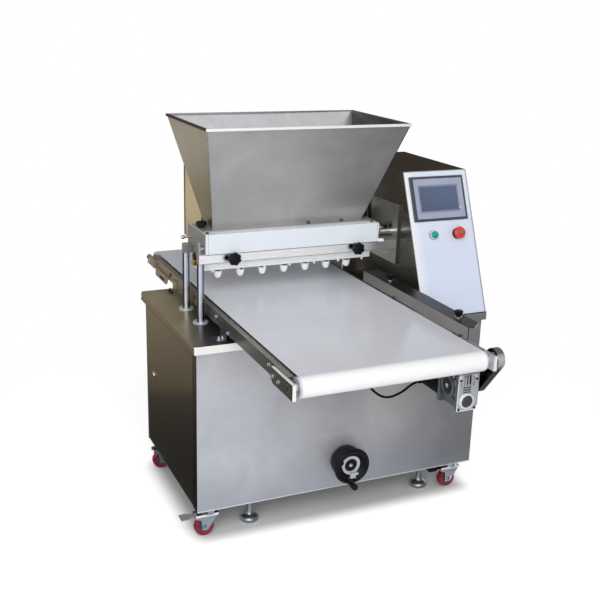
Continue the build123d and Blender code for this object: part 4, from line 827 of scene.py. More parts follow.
def bolt_tree():
    """Bolts at points: washer, many-sided head and stud end, each turned to the point's own direction."""
    tree, get, out = new_tree("bolts", [
        ("Washer Radius", "Float", 0.008), ("Washer Height", "Float", 0.0015), ("Head Radius", "Float", 0.006),
        ("Head Height", "Float", 0.005), ("Sides", "Int", 6), ("Stud Radius", "Float", 0.003),
        ("Stud Height", "Float", 0.002), ("Finish", "Material", None),
    ])

    def drum(sides, part, base):
        height = get[part + " Height"]
        solid = made(
            tree, "GeometryNodeMeshCylinder", {"Vertices": sides, "Radius": get[part + " Radius"], "Depth": height},
            {"fill_type": "NGON"},
        )
        return shifted(tree, solid, Z=maths(tree, "ADD", base, maths(tree, "MULTIPLY", height, 0.5)))

    stud_base = maths(tree, "ADD", get["Washer Height"], get["Head Height"])
    bolt = joined_solids(tree, (
        drum(24, "Washer", 0.0), drum(get["Sides"], "Head", get["Washer Height"]), drum(16, "Stud", stud_base),
    ))
    way = made(tree, "GeometryNodeInputNamedAttribute", {"Name": "facing"}, {"data_type": "FLOAT_VECTOR"})
    turned = made(tree, "FunctionNodeAlignRotationToVector", {"Vector": way}, {"axis": "Z"})
    points = made(tree, "GeometryNodeMeshToPoints", {"Mesh": get["Geometry"]})
    many = made(tree, "GeometryNodeInstanceOnPoints", {"Points": points, "Instance": bolt, "Rotation": turned})
    return end_tree(tree, out, many, get["Finish"])


def row_tree():
    """Copies of the given shape in a straight row."""
    tree, get, out = new_tree("row", [
        ("Count", "Int", 7), ("Start", "Vector", None), ("Step", "Vector", None), ("Finish", "Material", None),
    ])
    line = made(
        tree, "GeometryNodeMeshLine",
        {"Count": get["Count"], "Start Location": get["Start"], "Offset": get["Step"]}, {"mode": "OFFSET"},
    )
    many = made(tree, "GeometryNodeInstanceOnPoints", {"Points": line, "Instance": get["Geometry"]})
    return end_tree(tree, out, many, get["Finish"])


def chain_tree():
    """Roller chain links along a closed edge path, alternately wide and narrow."""
    tree, get, out = new_tree("chain", [
        ("Pitch", "Float", 0.0095), ("Width", "Float", 0.006), ("Height", "Float", 0.007), ("Finish", "Material", None),
    ])

    def share(size, part):
        return maths(tree, "MULTIPLY", get[size], part)

    path = made(tree, "GeometryNodeMeshToCurve", {"Mesh": get["Geometry"]})
    points = add_node(tree, "GeometryNodeCurveToPoints", {"mode": "LENGTH"}, {"Curve": path, "Length": get["Pitch"]})
    odd = maths(tree, "MODULO", made(tree, "GeometryNodeInputIndex"), 2.0)
    narrow = maths(tree, "MULTIPLY_ADD", odd, -0.35, 1.0)
    size = made(tree, "ShaderNodeCombineXYZ", {"X": narrow, "Y": 1.0, "Z": 1.0})
    box = made(tree, "ShaderNodeCombineXYZ", {"X": share("Width", 0.16), "Y": get["Height"], "Z": share("Pitch", 0.98)})
    cheek = made(tree, "GeometryNodeMeshCube", {"Size": box})
    cheeks = [shifted(tree, cheek, X=share("Width", side)) for side in (-0.42, 0.42)]
    roller = made(
        tree, "GeometryNodeMeshCylinder", {"Vertices": 10, "Radius": share("Height", 0.38), "Depth": get["Width"]}
    )
    flat = made(tree, "GeometryNodeTransform", {"Geometry": roller, "Rotation": (0.0, pi / 2, 0.0)})
    along = made(
        tree, "FunctionNodeAlignRotationToVector", {"Vector": points.outputs["Tangent"]},
        {"axis": "Z", "pivot_axis": "X"},
    )
    many = made(tree, "GeometryNodeInstanceOnPoints", {
        "Points": points.outputs[0], "Instance": joined_solids(tree, (*cheeks, flat)), "Rotation": along, "Scale": size,
    })
    return end_tree(tree, out, many, get["Finish"])


def point_mesh(name, places):
    """Loose points, each with the way it faces."""
    mesh = bpy.data.meshes.new(name)
    mesh.from_pydata([Vector(p) * MM for p, way in places], [], [])
    facing_way = mesh.attributes.new("facing", "FLOAT_VECTOR", "POINT")
    facing_way.data.foreach_set("vector", [v for p, way in places for v in Vector(way)])
    return mesh


def bolts(name, places, body, sizes, wanted="machined", nodes=()):
    """A group of like bolts on one body. Sizes: washer, head, sides and stud, in millimetres."""
    washer_r, washer_h, head_r, head_h, sides, stud_r, stud_h = sizes
    tree = bpy.data.node_groups.get("bolts") or bolt_tree()
    return grow(name, point_mesh(name, places), tree, {
        "Washer Radius": washer_r * MM, "Washer Height": washer_h * MM, "Head Radius": head_r * MM,
        "Head Height": head_h * MM, "Sides": sides, "Stud Radius": stud_r * MM, "Stud Height": stud_h * MM,
        "Finish": finish(wanted),
    }, body, nodes)


def around(centre, radius, first, count):
    """Places round a centre in Y and Z, each with its angle."""
    x, y, z = centre
    angles = [radians(first + 360 * i / count) for i in range(count)]
    return [((x, y + radius * cos(a), z + radius * sin(a)), a) for a in angles]


class DepositorSizes(bpy.types.PropertyGroup):
    """Sizes that a user may change."""
    lens: bpy.props.FloatProperty(name="Lens", description="Focal length of the camera", default=55.96, unit="CAMERA")
    edge: bpy.props.FloatProperty(
        name="Edge Softness", description="Width of the eased edges, in millimetres", default=0.6, min=0.0, max=2.0
    )
    knob_lobes: bpy.props.IntProperty(
        name="Knob Lobes", description="Number of grips round each star knob", default=7, min=3, max=12
    )
    cable: bpy.props.FloatProperty(
        name="Cable Diameter", description="Diameter of the motor cable", default=0.007, unit="LENGTH"
    )
    bead: bpy.props.FloatProperty(
        name="Weld Bead", description="Radius of the weld beads on the hopper, in millimetres", default=1.3
    )


class DepositorColours(bpy.types.PropertyGroup):
    """Colours that a user may change."""
    steel: bpy.props.FloatVectorProperty(
        name="Steel", description="Lit tone of the ground sheet", subtype="COLOR", default=(0.60, 0.61, 0.625)
    )
    steel_shade: bpy.props.FloatVectorProperty(
        name="Steel Shade", description="Dull tone of the ground sheet", subtype="COLOR", default=(0.42, 0.425, 0.435)
    )
    # The left sheets' upper and lower tones are painted light and painted shade.
    side_top: bpy.props.FloatVectorProperty(
        name="Side Top", description="Upper tone of the left sheets", subtype="COLOR", default=(0.272, 0.237, 0.178)
    )
    side_bottom: bpy.props.FloatVectorProperty(
        name="Side Bottom", description="Lower tone of the left sheets", subtype="COLOR", default=(0.095, 0.099, 0.098)
    )
    # The deck's tan is painted reflection.
    deck: bpy.props.FloatVectorProperty(
        name="Deck", description="Tone of the deck plate", subtype="COLOR", default=(0.32, 0.268, 0.175)
    )
    plastic: bpy.props.FloatVectorProperty(
        name="Plastic", description="White food plastic", subtype="COLOR", default=(0.85, 0.905, 0.97)
    )
    panel: bpy.props.FloatVectorProperty(
        name="Panel", description="Paint of the control panel", subtype="COLOR", default=(0.75, 0.825, 1.0)
    )
    start: bpy.props.FloatVectorProperty(
        name="Start", description="Start button", subtype="COLOR", default=(0.0, 0.40, 0.27)
    )
    stop: bpy.props.FloatVectorProperty(
        name="Stop", description="Stop button", subtype="COLOR", default=(0.82, 0.055, 0.022)
    )
    wheel: bpy.props.FloatVectorProperty(
        name="Wheel", description="Caster tread", subtype="COLOR", default=(0.37, 0.007, 0.037)
    )


class DEPOSITOR_OT_stage(bpy.types.Operator):
    """Camera, lamps, floor and reflector cards"""
    bl_idname = "depositor.stage"
    bl_label = "Stage"

    def execute(self, context):
        scene = context.scene
        scene.view_settings.view_transform = "Standard"
        self.place_camera(scene)
        self.light_world(scene)
        floor = self.sheet("floor", [(-30, -30, 0), (30, -30, 0), (30, 60, 0), (-30, 60, 0)], self.floor_finish())
        aim = Vector((0.0, 0.0, 0.7))
        for name, place, size, watts in (("key", (-1.7, -3.4, 2.6), 3.6, 118), ("fill", (3.2, -2.4, 2.0), 2.4, 16)):
            lamp = bpy.data.lights.new(name, "AREA")
            lamp.shape = "SQUARE"
            lamp.size = size
            lamp.energy = watts
            held = placed(name, lamp)
            held.location = place
            held.rotation_euler = (aim - Vector(place)).to_track_quat("-Z", "Y").to_euler()
        self.card("card_side", [(-3.6, -0.6, 0.004), (-0.50, -0.6, 0.004), (-0.50, 4.0, 0.004), (-3.6, 4.0, 0.004)],
                  None, 0.6, 2.6, (0.05, 0.042, 0.032), (0.42, 0.36, 0.27))
        self.card("card_front", [(-1.6, -3.0, 0.004), (2.6, -3.0, 0.004), (2.6, -0.2, 0.004), (-1.6, -0.2, 0.004)],
                  0, -0.3, 0.9, (0.84, 0.88, 0.96), (0.10, 0.10, 0.105))
        self.card("card_right", [(0.5, -3.0, 0.0), (3.4, -1.2, 0.0), (3.4, -1.2, 2.2), (0.5, -3.0, 2.2)],
                  0, 0.5, 1.6, (0.45, 0.45, 0.46), (0.14, 0.14, 0.145))
        self.card("card_back", [(-3.0, 3.4, 0.6), (4.0, 3.4, 0.6), (4.0, 3.4, 3.4), (-3.0, 3.4, 3.4)],
                  None, 0.6, 2.6, (0.16, 0.15, 0.14), (0.30, 0.29, 0.28))
        return {"FINISHED"}

    def place_camera(self, scene):
        """The camera fitted to the photograph."""
        yaw, pitch, roll = radians(24.377), radians(17.349), radians(1.652)
        ahead = Vector((sin(yaw) * cos(pitch), cos(yaw) * cos(pitch), -sin(pitch)))
        right = Vector((cos(yaw), -sin(yaw), 0))
        up = right.cross(ahead)
        across = right * cos(roll) + up * sin(roll)
        above = up * cos(roll) - right * sin(roll)
        lens = bpy.data.cameras.new("camera")
        lens.lens = scene.depositor_sizes.lens
        lens.sensor_width = 36
        scene.camera = placed("camera", lens)
        turned = Matrix((across, above, -ahead)).transposed().to_4x4()
        scene.camera.matrix_world = Matrix.Translation((-1.270, -2.633, 1.607)) @ turned

    def light_world(self, scene):
        """Even light from all round, with plain white behind."""
        world = bpy.data.worlds.new("studio")
        world.use_nodes = True
        tree = world.node_tree
        tree.nodes.clear()
        soft, plain = (
            made(tree, "ShaderNodeBackground", {"Color": (1.0, 1.0, 1.0), "Strength": strength})
            for strength in (0.30, 1.0)
        )
        both = made(tree, "ShaderNodeMixShader", [self.seen_rays(tree), soft, plain])
        add_node(tree, "ShaderNodeOutputWorld", None, {"Surface": both})
        scene.world = world

    def sheet(self, name, corners, material):
        """A flat four-sided sheet."""
        mesh = bpy.data.meshes.new(name)
        mesh.from_pydata(corners, [], [(0, 1, 2, 3)])
        mesh.materials.append(material)
        return placed(name, mesh)

    def seen_rays(self, tree):
        """1 for rays that show the plain background."""
        rays = add_node(tree, "ShaderNodeLightPath").outputs
        some = maths(tree, "MAXIMUM", rays["Is Camera Ray"], rays["Is Glossy Ray"])
        return maths(tree, "MAXIMUM", some, rays["Is Transmission Ray"])

    def floor_finish(self):
        """Pale floor that keeps real shadows near the machine, with a painted glow lifting it to white outside the
        machine's footprint, and runs out to plain white.
        """
        material, tree = bare_material("pale_floor")
        seen = self.seen_rays(tree)
        at = add_node(tree, "ShaderNodeTexCoord").outputs["Object"]
        share = maths(tree, "MULTIPLY", seen, smooth_rise(tree, vectors(tree, "LENGTH", at), 1.0, 1.7))
        sides = vectors(tree, "ABSOLUTE", vectors(tree, "SUBTRACT", at, (0.015, 0.111, 0.0)))
        beyond = vectors(tree, "SUBTRACT", sides, (0.455, 0.25, 0.0))
        off = vectors(tree, "LENGTH", vectors(tree, "MAXIMUM", beyond, (0.0, 0.0, 0.0)))
        # A glow that grows with distance from the cabinet's footprint: painted light that whitens the floor round the
        # shadow.
        lift = maths(tree, "MULTIPLY", seen, smooth_rise(tree, off, 0.0, 0.085, 0.60))
        matt = made(tree, "ShaderNodeBsdfDiffuse", {"Color": (0.90, 0.90, 0.89)})
        faint, white = (
            made(tree, "ShaderNodeEmission", {"Color": (1.0, 1.0, 1.0), "Strength": strength})
            for strength in (lift, 1.0)
        )
        near = made(tree, "ShaderNodeAddShader", [matt, faint])
        both = made(tree, "ShaderNodeMixShader", [share, near, white])
        add_node(tree, "ShaderNodeOutputMaterial", None, {"Surface": both})
        return material

    def card(self, name, corners, axis, low, high, near, far):
        """A reflector card that only shows in glossy surfaces, shaded along an axis or outwards from the middle."""
        material, tree = bare_material(name)
        at = add_node(tree, "ShaderNodeTexCoord").outputs["Object"]
        if axis is None:
            way = vectors(tree, "LENGTH", at)
        else:
            way = add_node(tree, "ShaderNodeSeparateXYZ", None, [at]).outputs[axis]
        share = smooth_rise(tree, way, low, high)
        tone = add_node(tree, "ShaderNodeMix", {"data_type": "RGBA"}, {0: share, 6: near, 7: far}).outputs[2]
        glow = made(tree, "ShaderNodeEmission", {"Color": tone, "Strength": 1.0})
        add_node(tree, "ShaderNodeOutputMaterial", None, {"Surface": glow})
        card = self.sheet(name, corners, material)
        for rays in ("camera", "diffuse", "transmission", "volume_scatter", "shadow"):
            setattr(card, "visible_" + rays, False)


class DEPOSITOR_OT_cable(bpy.types.Operator):
    """Motor cable in a loose loop from the motor's gland to the front sheet's gland"""
    bl_idname = "depositor.cable"
    bl_label = "Motor Cable"

    def execute(self, context):
        wide = context.scene.depositor_sizes.cable
        line = bpy.data.curves.new("motor_cable_run", "CURVE")
        line.dimensions = "3D"
        spline = line.splines.new("NURBS")
        spline.points.add(len(CABLE) - 1)
        for point, place in zip(spline.points, CABLE):
            point.co = (*(v * MM for v in place), 1.0)
        spline.order_u = 3
        spline.use_endpoint_u = True
        spline.resolution_u = 12
        line.bevel_depth = wide / 2
        line.bevel_resolution = 6
        line.use_fill_caps = True
        line.materials.append(finish("cable_black"))
        cable = placed("motor_cable_run", line)
        joined_to(cable, "base", ["motor_cable"])
        return {"FINISHED"}


class DEPOSITOR_OT_cabinet(bpy.types.Operator):
    """Cabinet sheets, door with its lock, and the deck plate"""
    bl_idname = "depositor.cabinet"
    bl_label = "Cabinet"

    def execute(self, context):
        soft = context.scene.depositor_sizes.edge
        dressed("cabinet_shell", facing("front_sheet", "steel_y", "steel_x", "side_steel"), soft)
        # The door's edges take the darkest steel: painted shade.
        dressed("door", facing("steel_dark", "steel_dark", "steel_dark", "side_steel"), 0.3)
        dressed("deck", facing("lip_cream", "steel_y", "deck_steel", "deck_lip", "steel_dull"), soft)
        # A dark line under the deck's left lip is painted shadow; the pale sheet at the back is painted light.
        trim = Shape()
        trim.block((-498.6, -188, 628.2), (-494, 410, 631.2), "edge_brown", 0.3)
        trim.block((214, 408.6, 657), (279.4, 410.2, 846), "tan_pale", 0.4)
        trim.done("deck_shade_and_light_strips", "base")
        # The hem's brighter steel is painted light.
        hem = Shape()
        hem.block((-484, -176.2, 102.4), (514, -172, 106.0), "steel_bright", 1.2)
        hem.done("cabinet_hem", "base")
        lock = Shape()
        lock.lathe(
            [(0, 4.2), (5.4, 4.2), (6.0, 3.9), (9.0, 4.0), (11.4, 3.4), (12, 2.2), (12, 0.3), (9, 0.3), (9, -26),
             (0, -26)], (-485, 310, 382), LEFT, "machined", 40,
        )
        lock.block((-490, 309.2, 376.5), (-488.2, 310.8, 387.5), "black_plastic", 0.2)
        lock.block((-459, 302, 374), (-456, 318, 424), "machined", 0.5)
        lock.done("door_lock_key", "door_lock", ["door_lock"])
        return {"FINISHED"}


class DEPOSITOR_OT_tower(bpy.types.Operator):
    """Tower sheets, control panel, touch panel and the two buttons"""
    bl_idname = "depositor.tower"
    bl_label = "Tower"

    def execute(self, context):
        soft = context.scene.depositor_sizes.edge
        dressed("tower_shell", facing("steel_x", "steel_y", "tower_top", "tower_side"), soft)

        def panel_pick(normal, centre):
            at = PANEL.inverted() @ (centre * MM) / MM
            near = min(hypot(at.x - u, at.y - v) for u, v, w in (START_AT, STOP_AT))
            return "lamp_white" if near < 13.5 and at.z > -0.2 else "panel_paint"

        dressed("control_panel", panel_pick, 0.4)
        fold = Shape()
        fold.block((117.4, 3, -2.4), (121.6, 483, 0.8), "bezel_mid", 0.5, PANEL)
        fold.done("panel_edge_fold", "base")
        touch = Shape()
        touch.block((-96, 323, -36), (96, 461, 0.2), "grey_plastic", 1.0, PANEL)
        touch.block((-104, 317, 0), (102, 467, 5.2), "bezel_dark", 2.0, PANEL, 3)
        touch.block((-91, 325.5, 4.6), (93.5, 458.5, 6.0), "bezel_lilac", 0.6, PANEL)
        touch.block((-78, 345, 5.6), (75.5, 437.5, 6.3), "bezel_mid", 0.3, PANEL)
        touch.block((-72.5, 351, 5.8), (70, 431.5, 6.7), "screen", 0.25, PANEL)
        lamp = [(0, 0.9), (1.6, 0.8), (2.4, 0.3), (2.4, -0.5), (0, -0.5)]
        touch.lathe(lamp, (76, 357, 6.2), UP, "lamp_white", 16, place=PANEL)
        touch.done("touch_panel_face", "base", ["touch_panel"])
        seats = Shape()
        for profile, at, wanted in (
            ([(13.6, 0.2), (13.6, 2.4), (15.4, 2.2), (16.0, 0.2), (13.6, 0.2)], START_AT, "black_plastic"),
            ([(11.3, 0.2), (11.3, 4.2), (12.8, 4.2), (13.6, 3.4), (13.6, 0.2), (11.3, 0.2)], START_AT, "lamp_white"),
            ([(11.6, 0.2), (11.6, 6.4), (16.0, 6.4), (17.6, 5.2), (18.2, 0.2), (11.6, 0.2)], STOP_AT, "black_plastic"),
        ):
            seats.lathe(profile, at, UP, wanted, 48, place=PANEL)
        seats.done("button_seats", "base")
        start = Shape()
        start.lathe(
            [(0, 15), (7, 14.8), (10.4, 14), (12, 12.4), (12.4, 10.6), (12.2, 9.0), (11, 8.6), (11, -30), (0, -30)],
            START_AT, UP, "green_cap", 40, place=PANEL,
        )
        start.done("start_button_cap", "start_button", ["start_button"])
        stop = Shape()
        cap = [(6.0, 26.6), (14, 26.0), (18, 24.0), (19.8, 20.5), (20, 14.5), (19, 12.2), (12, 12), (11, 11), (11, -30),
               (0, -30), (0, 26.0), (5.0, 26.0), (6.0, 26.6)]
        disc = [(0, 27.2), (3.6, 27.1), (6.0, 26.7), (6.0, 25.8), (0, 25.8)]
        ring = [(6.0, 26.9), (7.0, 26.8), (7.0, 26.0), (6.0, 26.0), (6.0, 26.9)]
        for profile, wanted, steps in ((cap, "red_cap", 48), (disc, "stop_disc", 24), (ring, "black_plastic", 32)):
            stop.lathe(profile, STOP_AT, UP, wanted, steps, place=PANEL)
        stop.done("stop_button_cap", "stop_button", ["stop_button"])
        return {"FINISHED"}


class DEPOSITOR_OT_hopper(bpy.types.Operator):
    """Hopper sheets with weld beads"""
    bl_idname = "depositor.hopper"
    bl_label = "Hopper"

    def execute(self, context):
        sizes = context.scene.depositor_sizes

        def pick(normal, centre):
            # Rim and walls take lighter and darker copies of the steel by side and place: painted light, painted
            # highlights and painted shade, with tan on left faces as painted reflection.
            out = Vector((centre.x - BELT_MIDDLE, centre.y - HEAD_MIDDLE, 0)).normalized()
            if centre.z > 1267:
                if centre.x < -420:
                    return "rim_black" if normal.x < SQUARE_ON else "hopper_inside"
                if centre.x > 225:
                    return "steel_dark"
                if centre.y > 280:
                    return "steel_dull" if normal.z > SQUARE_ON else "hopper_lit"
                return "edge_white"
            if normal.z > 0.1 and normal.dot(out) < 0:
                if normal.x < -SQUARE_ON:
                    return "hopper_shade"
                return "hopper_lit" if normal.y < -SQUARE_ON else "hopper_inside"
            if normal.x < -SQUARE_ON:
                return "hopper_tan"
            return "steel_y" if normal.x > SQUARE_ON else "hopper_front"

        dressed("hopper", pick, sizes.edge)
        beads = Shape()
        steps = 60
        for sx in (-1, 1):
            for sy in (-1, 1):
                low = Vector((BELT_MIDDLE + sx * 259.2, HEAD_MIDDLE + sy * 39.2, 946))
                high = Vector((BELT_MIDDLE + sx * 329.2, HEAD_MIDDLE + sy * 198.2, 1267))
                ripple = Vector((sx, sy, 0)) * 0.25
                line = [low.lerp(high, i / steps) + ripple * (i % 2) for i in range(steps + 1)]
                # Each bead takes its corner's tone: dark on the right as painted shade, bright at the front left as
                # painted highlight, tan at the back left as painted reflection.
                wanted = "steel_dark" if sx > 0 else ("machined" if sy < 0 else "hopper_tan")
                beads.rod(line, sizes.bead, wanted, 8)
        beads.done("hopper_welds", "head")
        return {"FINISHED"}


class DEPOSITOR_OT_head(bpy.types.Operator):
    """Bars, slide plate, manifold, nozzle bar, nozzles, valve coupling and small fittings"""
    bl_idname = "depositor.head"
    bl_label = "Head"

    def execute(self, context):
        soft = context.scene.depositor_sizes.edge
        bar_faces = facing("bar_front", "steel_y", "steel_x", "tan_steel")

        def bar_pick(normal, centre):
            return "end_grey" if normal.y < -SQUARE_ON and centre.y > 100 else bar_faces(normal, centre)

        dressed("head_bars", bar_pick, soft)
        dressed("slide_plate", facing("steel_dull", "plate_beige", "steel_x"), 0.3)
        dressed("drive_housing", facing("steel_x", "steel_y", "steel_x", "gold_steel"), soft)
        edge = Shape()
        # Dark strips up the head's rear, under the manifold and under the bar are painted shadow lines.
        edge.block((-339.8, 397.5, 850), (-336, 408.3, 1105), "edge_brown", 0.3)
        edge.block((-395, 5.0, 876.4), (203, 7.0, 878.8), "steel_dull", 0.3)
        edge.block((-416, 5.4, 848.4), (205, 7.0, 850.0), "end_grey", 0.3)
        for z in (889, 931):
            edge.rod([(204, 40, z), (271.5, 40, z)], 3.2, "oiled_steel", 16)
        edge.block((204, -2, 878.4), (221, 10, 887), "nozzle_white", 1.0)
        edge.done("head_trim", "head")

        def manifold_pick(normal, centre):
            return "end_grey" if normal.x < -SQUARE_ON and centre.x < -390 else "manifold_white"

        def post_pick(normal, centre):
            # Tones by which side a facet turns to: painted reflections, darker on both edges.
            across = normal.x * 0.911 - normal.y * 0.412
            if across > 0.62:
                return "post_blue"
            return "post_navy" if across < -0.42 else "post_pale"

        dressed("manifold", manifold_pick, 0.5)
        dressed("nozzle_bar", "nozzle_white", 1.0)
        dressed("lift_posts", post_pick, 0.5)
        dressed("post_guides", "flange_grey", 0.5)
        rotor = dressed("valve_rotor", "machined", 0.4)
        axis = Vector((0, *VALVE_AT)) * MM
        rotor.data.transform(
            Matrix.Translation(axis) @ Matrix.Diagonal((1.0, 0.985, 0.985, 1.0)) @ Matrix.Translation(-axis)
        )

        cup = [(4.5, -12), (12.4, -12), (13.2, -12.8), (13.2, -15), (12.4, -21), (10.8, -27.5), (8.8, -32),
               (6.6, -34.4), (4.5, -35), (4.5, -12)]
        neck = [(4.5, 0), (11, 0), (11, -2), (9, -4), (9, -12.4), (4.5, -12.4), (4.5, 0)]
        first = Vector((BELT_MIDDLE - (LANE_COUNT - 1) / 2 * LANE_PITCH, HEAD_MIDDLE, 812))
        row = row_tree()
        # The necks' dark grey partly stands in for the shade under the nozzle bar: painted shade in part.
        for name, profile, wanted, nodes in (
            ("nozzle_cups", cup, "nozzle_white", ["nozzles"]), ("nozzle_necks", neck, "grey_plastic", ()),
        ):
            nozzle = Shape().lathe(profile, (0, 0, 0), UP, wanted, 36)
            mesh = bpy.data.meshes.new(name)
            nozzle.bm.to_mesh(mesh)
            nozzle.bm.free()
            grow(name, mesh, row, {
                "Count": LANE_COUNT, "Start": first * MM, "Step": Vector((LANE_PITCH, 0, 0)) * MM,
                "Finish": finish(wanted),
            }, "head", nodes)
        tops = ((-31, 50, 945), (87, 50, 945), (189, 30, 941), (-385, 22, 941))
        for name, places, sizes, wanted in (
            ("nozzle_bar_studs", [((-353 + i * 88.5, 68, 812), DOWN) for i in range(7)],
             (5.0, 1.0, 3.8, 7.0, 12, 2.4, 0.6), "edge_white"),
            ("manifold_top_bolts", [(place, UP) for place in tops],
             (5.6, 0.8, 4.4, 3.4, 12, 2.0, 0.2), "oiled_steel"),
            ("slide_plate_screws", [((SLIDE_FACE, y, z), LEFT) for y, z in ((78, 816), (18, 822))],
             (4.6, 0.4, 3.6, 2.6, 6, 1.6, 0.2), "chrome"),
            ("slide_plate_clamps", [((SLIDE_FACE, y, z), LEFT) for y, z in ((78, 908), (47, 918))],
             (7.0, 1.0, 5.4, 6.0, 12, 2.4, 0.6), "black_plastic"),
        ):
            bolts(name, places, "head", sizes, wanted)
        self.coupling()
        self.fittings()
        return {"FINISHED"}

    def coupling(self):
        """Seal flange on the manifold's right end and clamp screws on the coupling."""
        flange = Shape()
        flange.lathe(
            [(9.2, 0), (30, 0), (31, 1), (31, 7), (30, 8), (22, 8), (20, 10), (20, 15), (9.2, 15), (9.2, 0)],
            (MANIFOLD_RIGHT, *VALVE_AT), RIGHT, "machined", 44,
        )
        flange.done("valve_seal_flange", "head")
        stay = [(place, RIGHT) for place, a in around((215, 35, 904), 12.5, 30, 3)]
        bolts("stay_flange_screws", stay, "head", (2.8, 0.4, 2.4, 2.4, 6, 1.2, 0.2), "oiled_steel")
        seal = [(place, RIGHT) for place, a in around((211, *VALVE_AT), 25, 45, 4)]
        bolts("valve_flange_screws", seal, "head", (5, 1, 4, 4, 6, 2, 0.4), "oiled_steel")
        clamps = [
            (place, (0, cos(a), sin(a)))
            for x in (228, 242) for place, a in around((x, *VALVE_AT), 26, 100, 3)
        ]
        bolts("coupling_screws", clamps, "valve", (4, 0.5, 3.4, 3, 12, 1.6, 0.2), "oiled_steel")

    def fittings(self):
        """Hopper clamp knobs, end pin, wing clamp, and brass block on its loop."""
        parts = Shape()
        big = [(0, 20), (7, 20), (12.6, 18.8), (15.6, 16), (15.6, 7), (13.6, 4), (8, 3), (0, 3)]
        small = [(0, 16), (6, 16), (10, 15), (11.6, 13), (11.6, 6), (10, 4), (7, 3), (0, 3)]
        for side, grip in ((-1, big), (1, small)):
            at = (BELT_MIDDLE + side * 284, HEAD_MIDDLE, 945)
            parts.lathe([(0, 3.2), (8, 3.2), (8, 0), (0, 0)], at, UP, "black_plastic", 32)
            parts.lathe(grip, at, UP, "black_plastic", 60, 5, 1.8, 9.5)
        stay = [(0, 0), (15, 0), (15, 11), (14, 12), (9, 12), (9, 69), (0, 69)]
        parts.lathe(stay, (MANIFOLD_RIGHT, 35, 904), RIGHT, "chrome", 36)
        pin = [(0, 0), (4, 0), (4, -17), (6, -18), (6.4, -20), (6.4, -26), (5, -28), (0, -28)]
        parts.lathe(pin, (MANIFOLD_LEFT, 167, 900), RIGHT, "machined", 28)
        parts.lathe([(0, 8), (7, 8), (9, 7), (9, 0), (0, 0)], (MANIFOLD_LEFT, 37, 890), LEFT, "machined", 28)
        half = [(-20, -2), (-16, -3.2), (-7, -2.4), (7, -2.4), (16, -3.2), (20, -2)]
        upright = Matrix.Translation(Vector((-403, 37, 890)) * MM) @ Matrix.Rotation(-pi / 2, 4, "Y")
        parts.plate(half + [(-u, -v) for u, v in half], 6, "machined", 0.8, upright)
        parts.block((-401, 50, 876), (-396, 60, 886), "machined", 0.8)
        parts.block((-408, 53, 878.5), (-401, 57, 883), "machined", 0.6)
        loop = [place for place, a in around((-417, 52, 864), 11, 0, 36)]
        parts.rod(loop + loop[:1], 2.8, "black_plastic", 10)
        parts.block((-422, 43, 836), (-412, 63, 855), "brass", 1.4)
        parts.lathe([(0, 0), (5, 0), (5, 2), (4, 3), (0, 3)], (-422, 53, 845), LEFT, "brass", 6)
        parts.done("head_fittings_set", "head", ["head_fittings"])


class DEPOSITOR_OT_knobs(bpy.types.Operator):
    """Star knobs of the front bar and the knobs of the tray guide"""
    bl_idname = "depositor.knobs"
    bl_label = "Knobs"

    def execute(self, context):
        lobes = context.scene.depositor_sizes.knob_lobes
        star = [(0, 26), (7, 26), (8.5, 25.2), (9, 24.4), (15, 24.2), (18.6, 22.8), (20, 20.5), (20, 13.5), (19, 11.2),
                (14, 10), (11, 8), (11, 0.4), (0, 0.4)]
        small = [(0, 24), (5, 24), (10, 23.2), (12, 21), (11.4, 17), (9.2, 11), (7.4, 8), (6.6, 3.6), (0, 3.6)]
        for x, place in ((-307, "left"), (123, "right")):
            node, at = f"star_knob_{place}", (x, 6, 863)
            knob = Shape()
            knob.lathe(star, at, FRONT, "black_plastic", 72, lobes, 1.5, 14.5, radians(30))
            knob.lathe([(0, 1), (5, 1), (5, -53), (0, -53)], at, FRONT, "machined", 24)
            knob.done(node + "_grip", node, [node])
        for y, place in ((-488, "front"), (-85, "rear")):
            node, at = f"guide_knob_{place}", (206, y, 766)
            knob = Shape()
            knob.lathe([(0, 1), (4, 1), (4, -7), (0, -7)], at, UP, "machined", 20)
            knob.lathe([(0, 4), (9.5, 4), (10, 3.5), (10, 0.6), (0, 0.6)], at, UP, "machined", 32)
            knob.lathe(small, at, UP, "black_plastic", 48, lobes, 1.4, 8.0)
            knob.done(node + "_grip", node, [node])
        return {"FINISHED"}


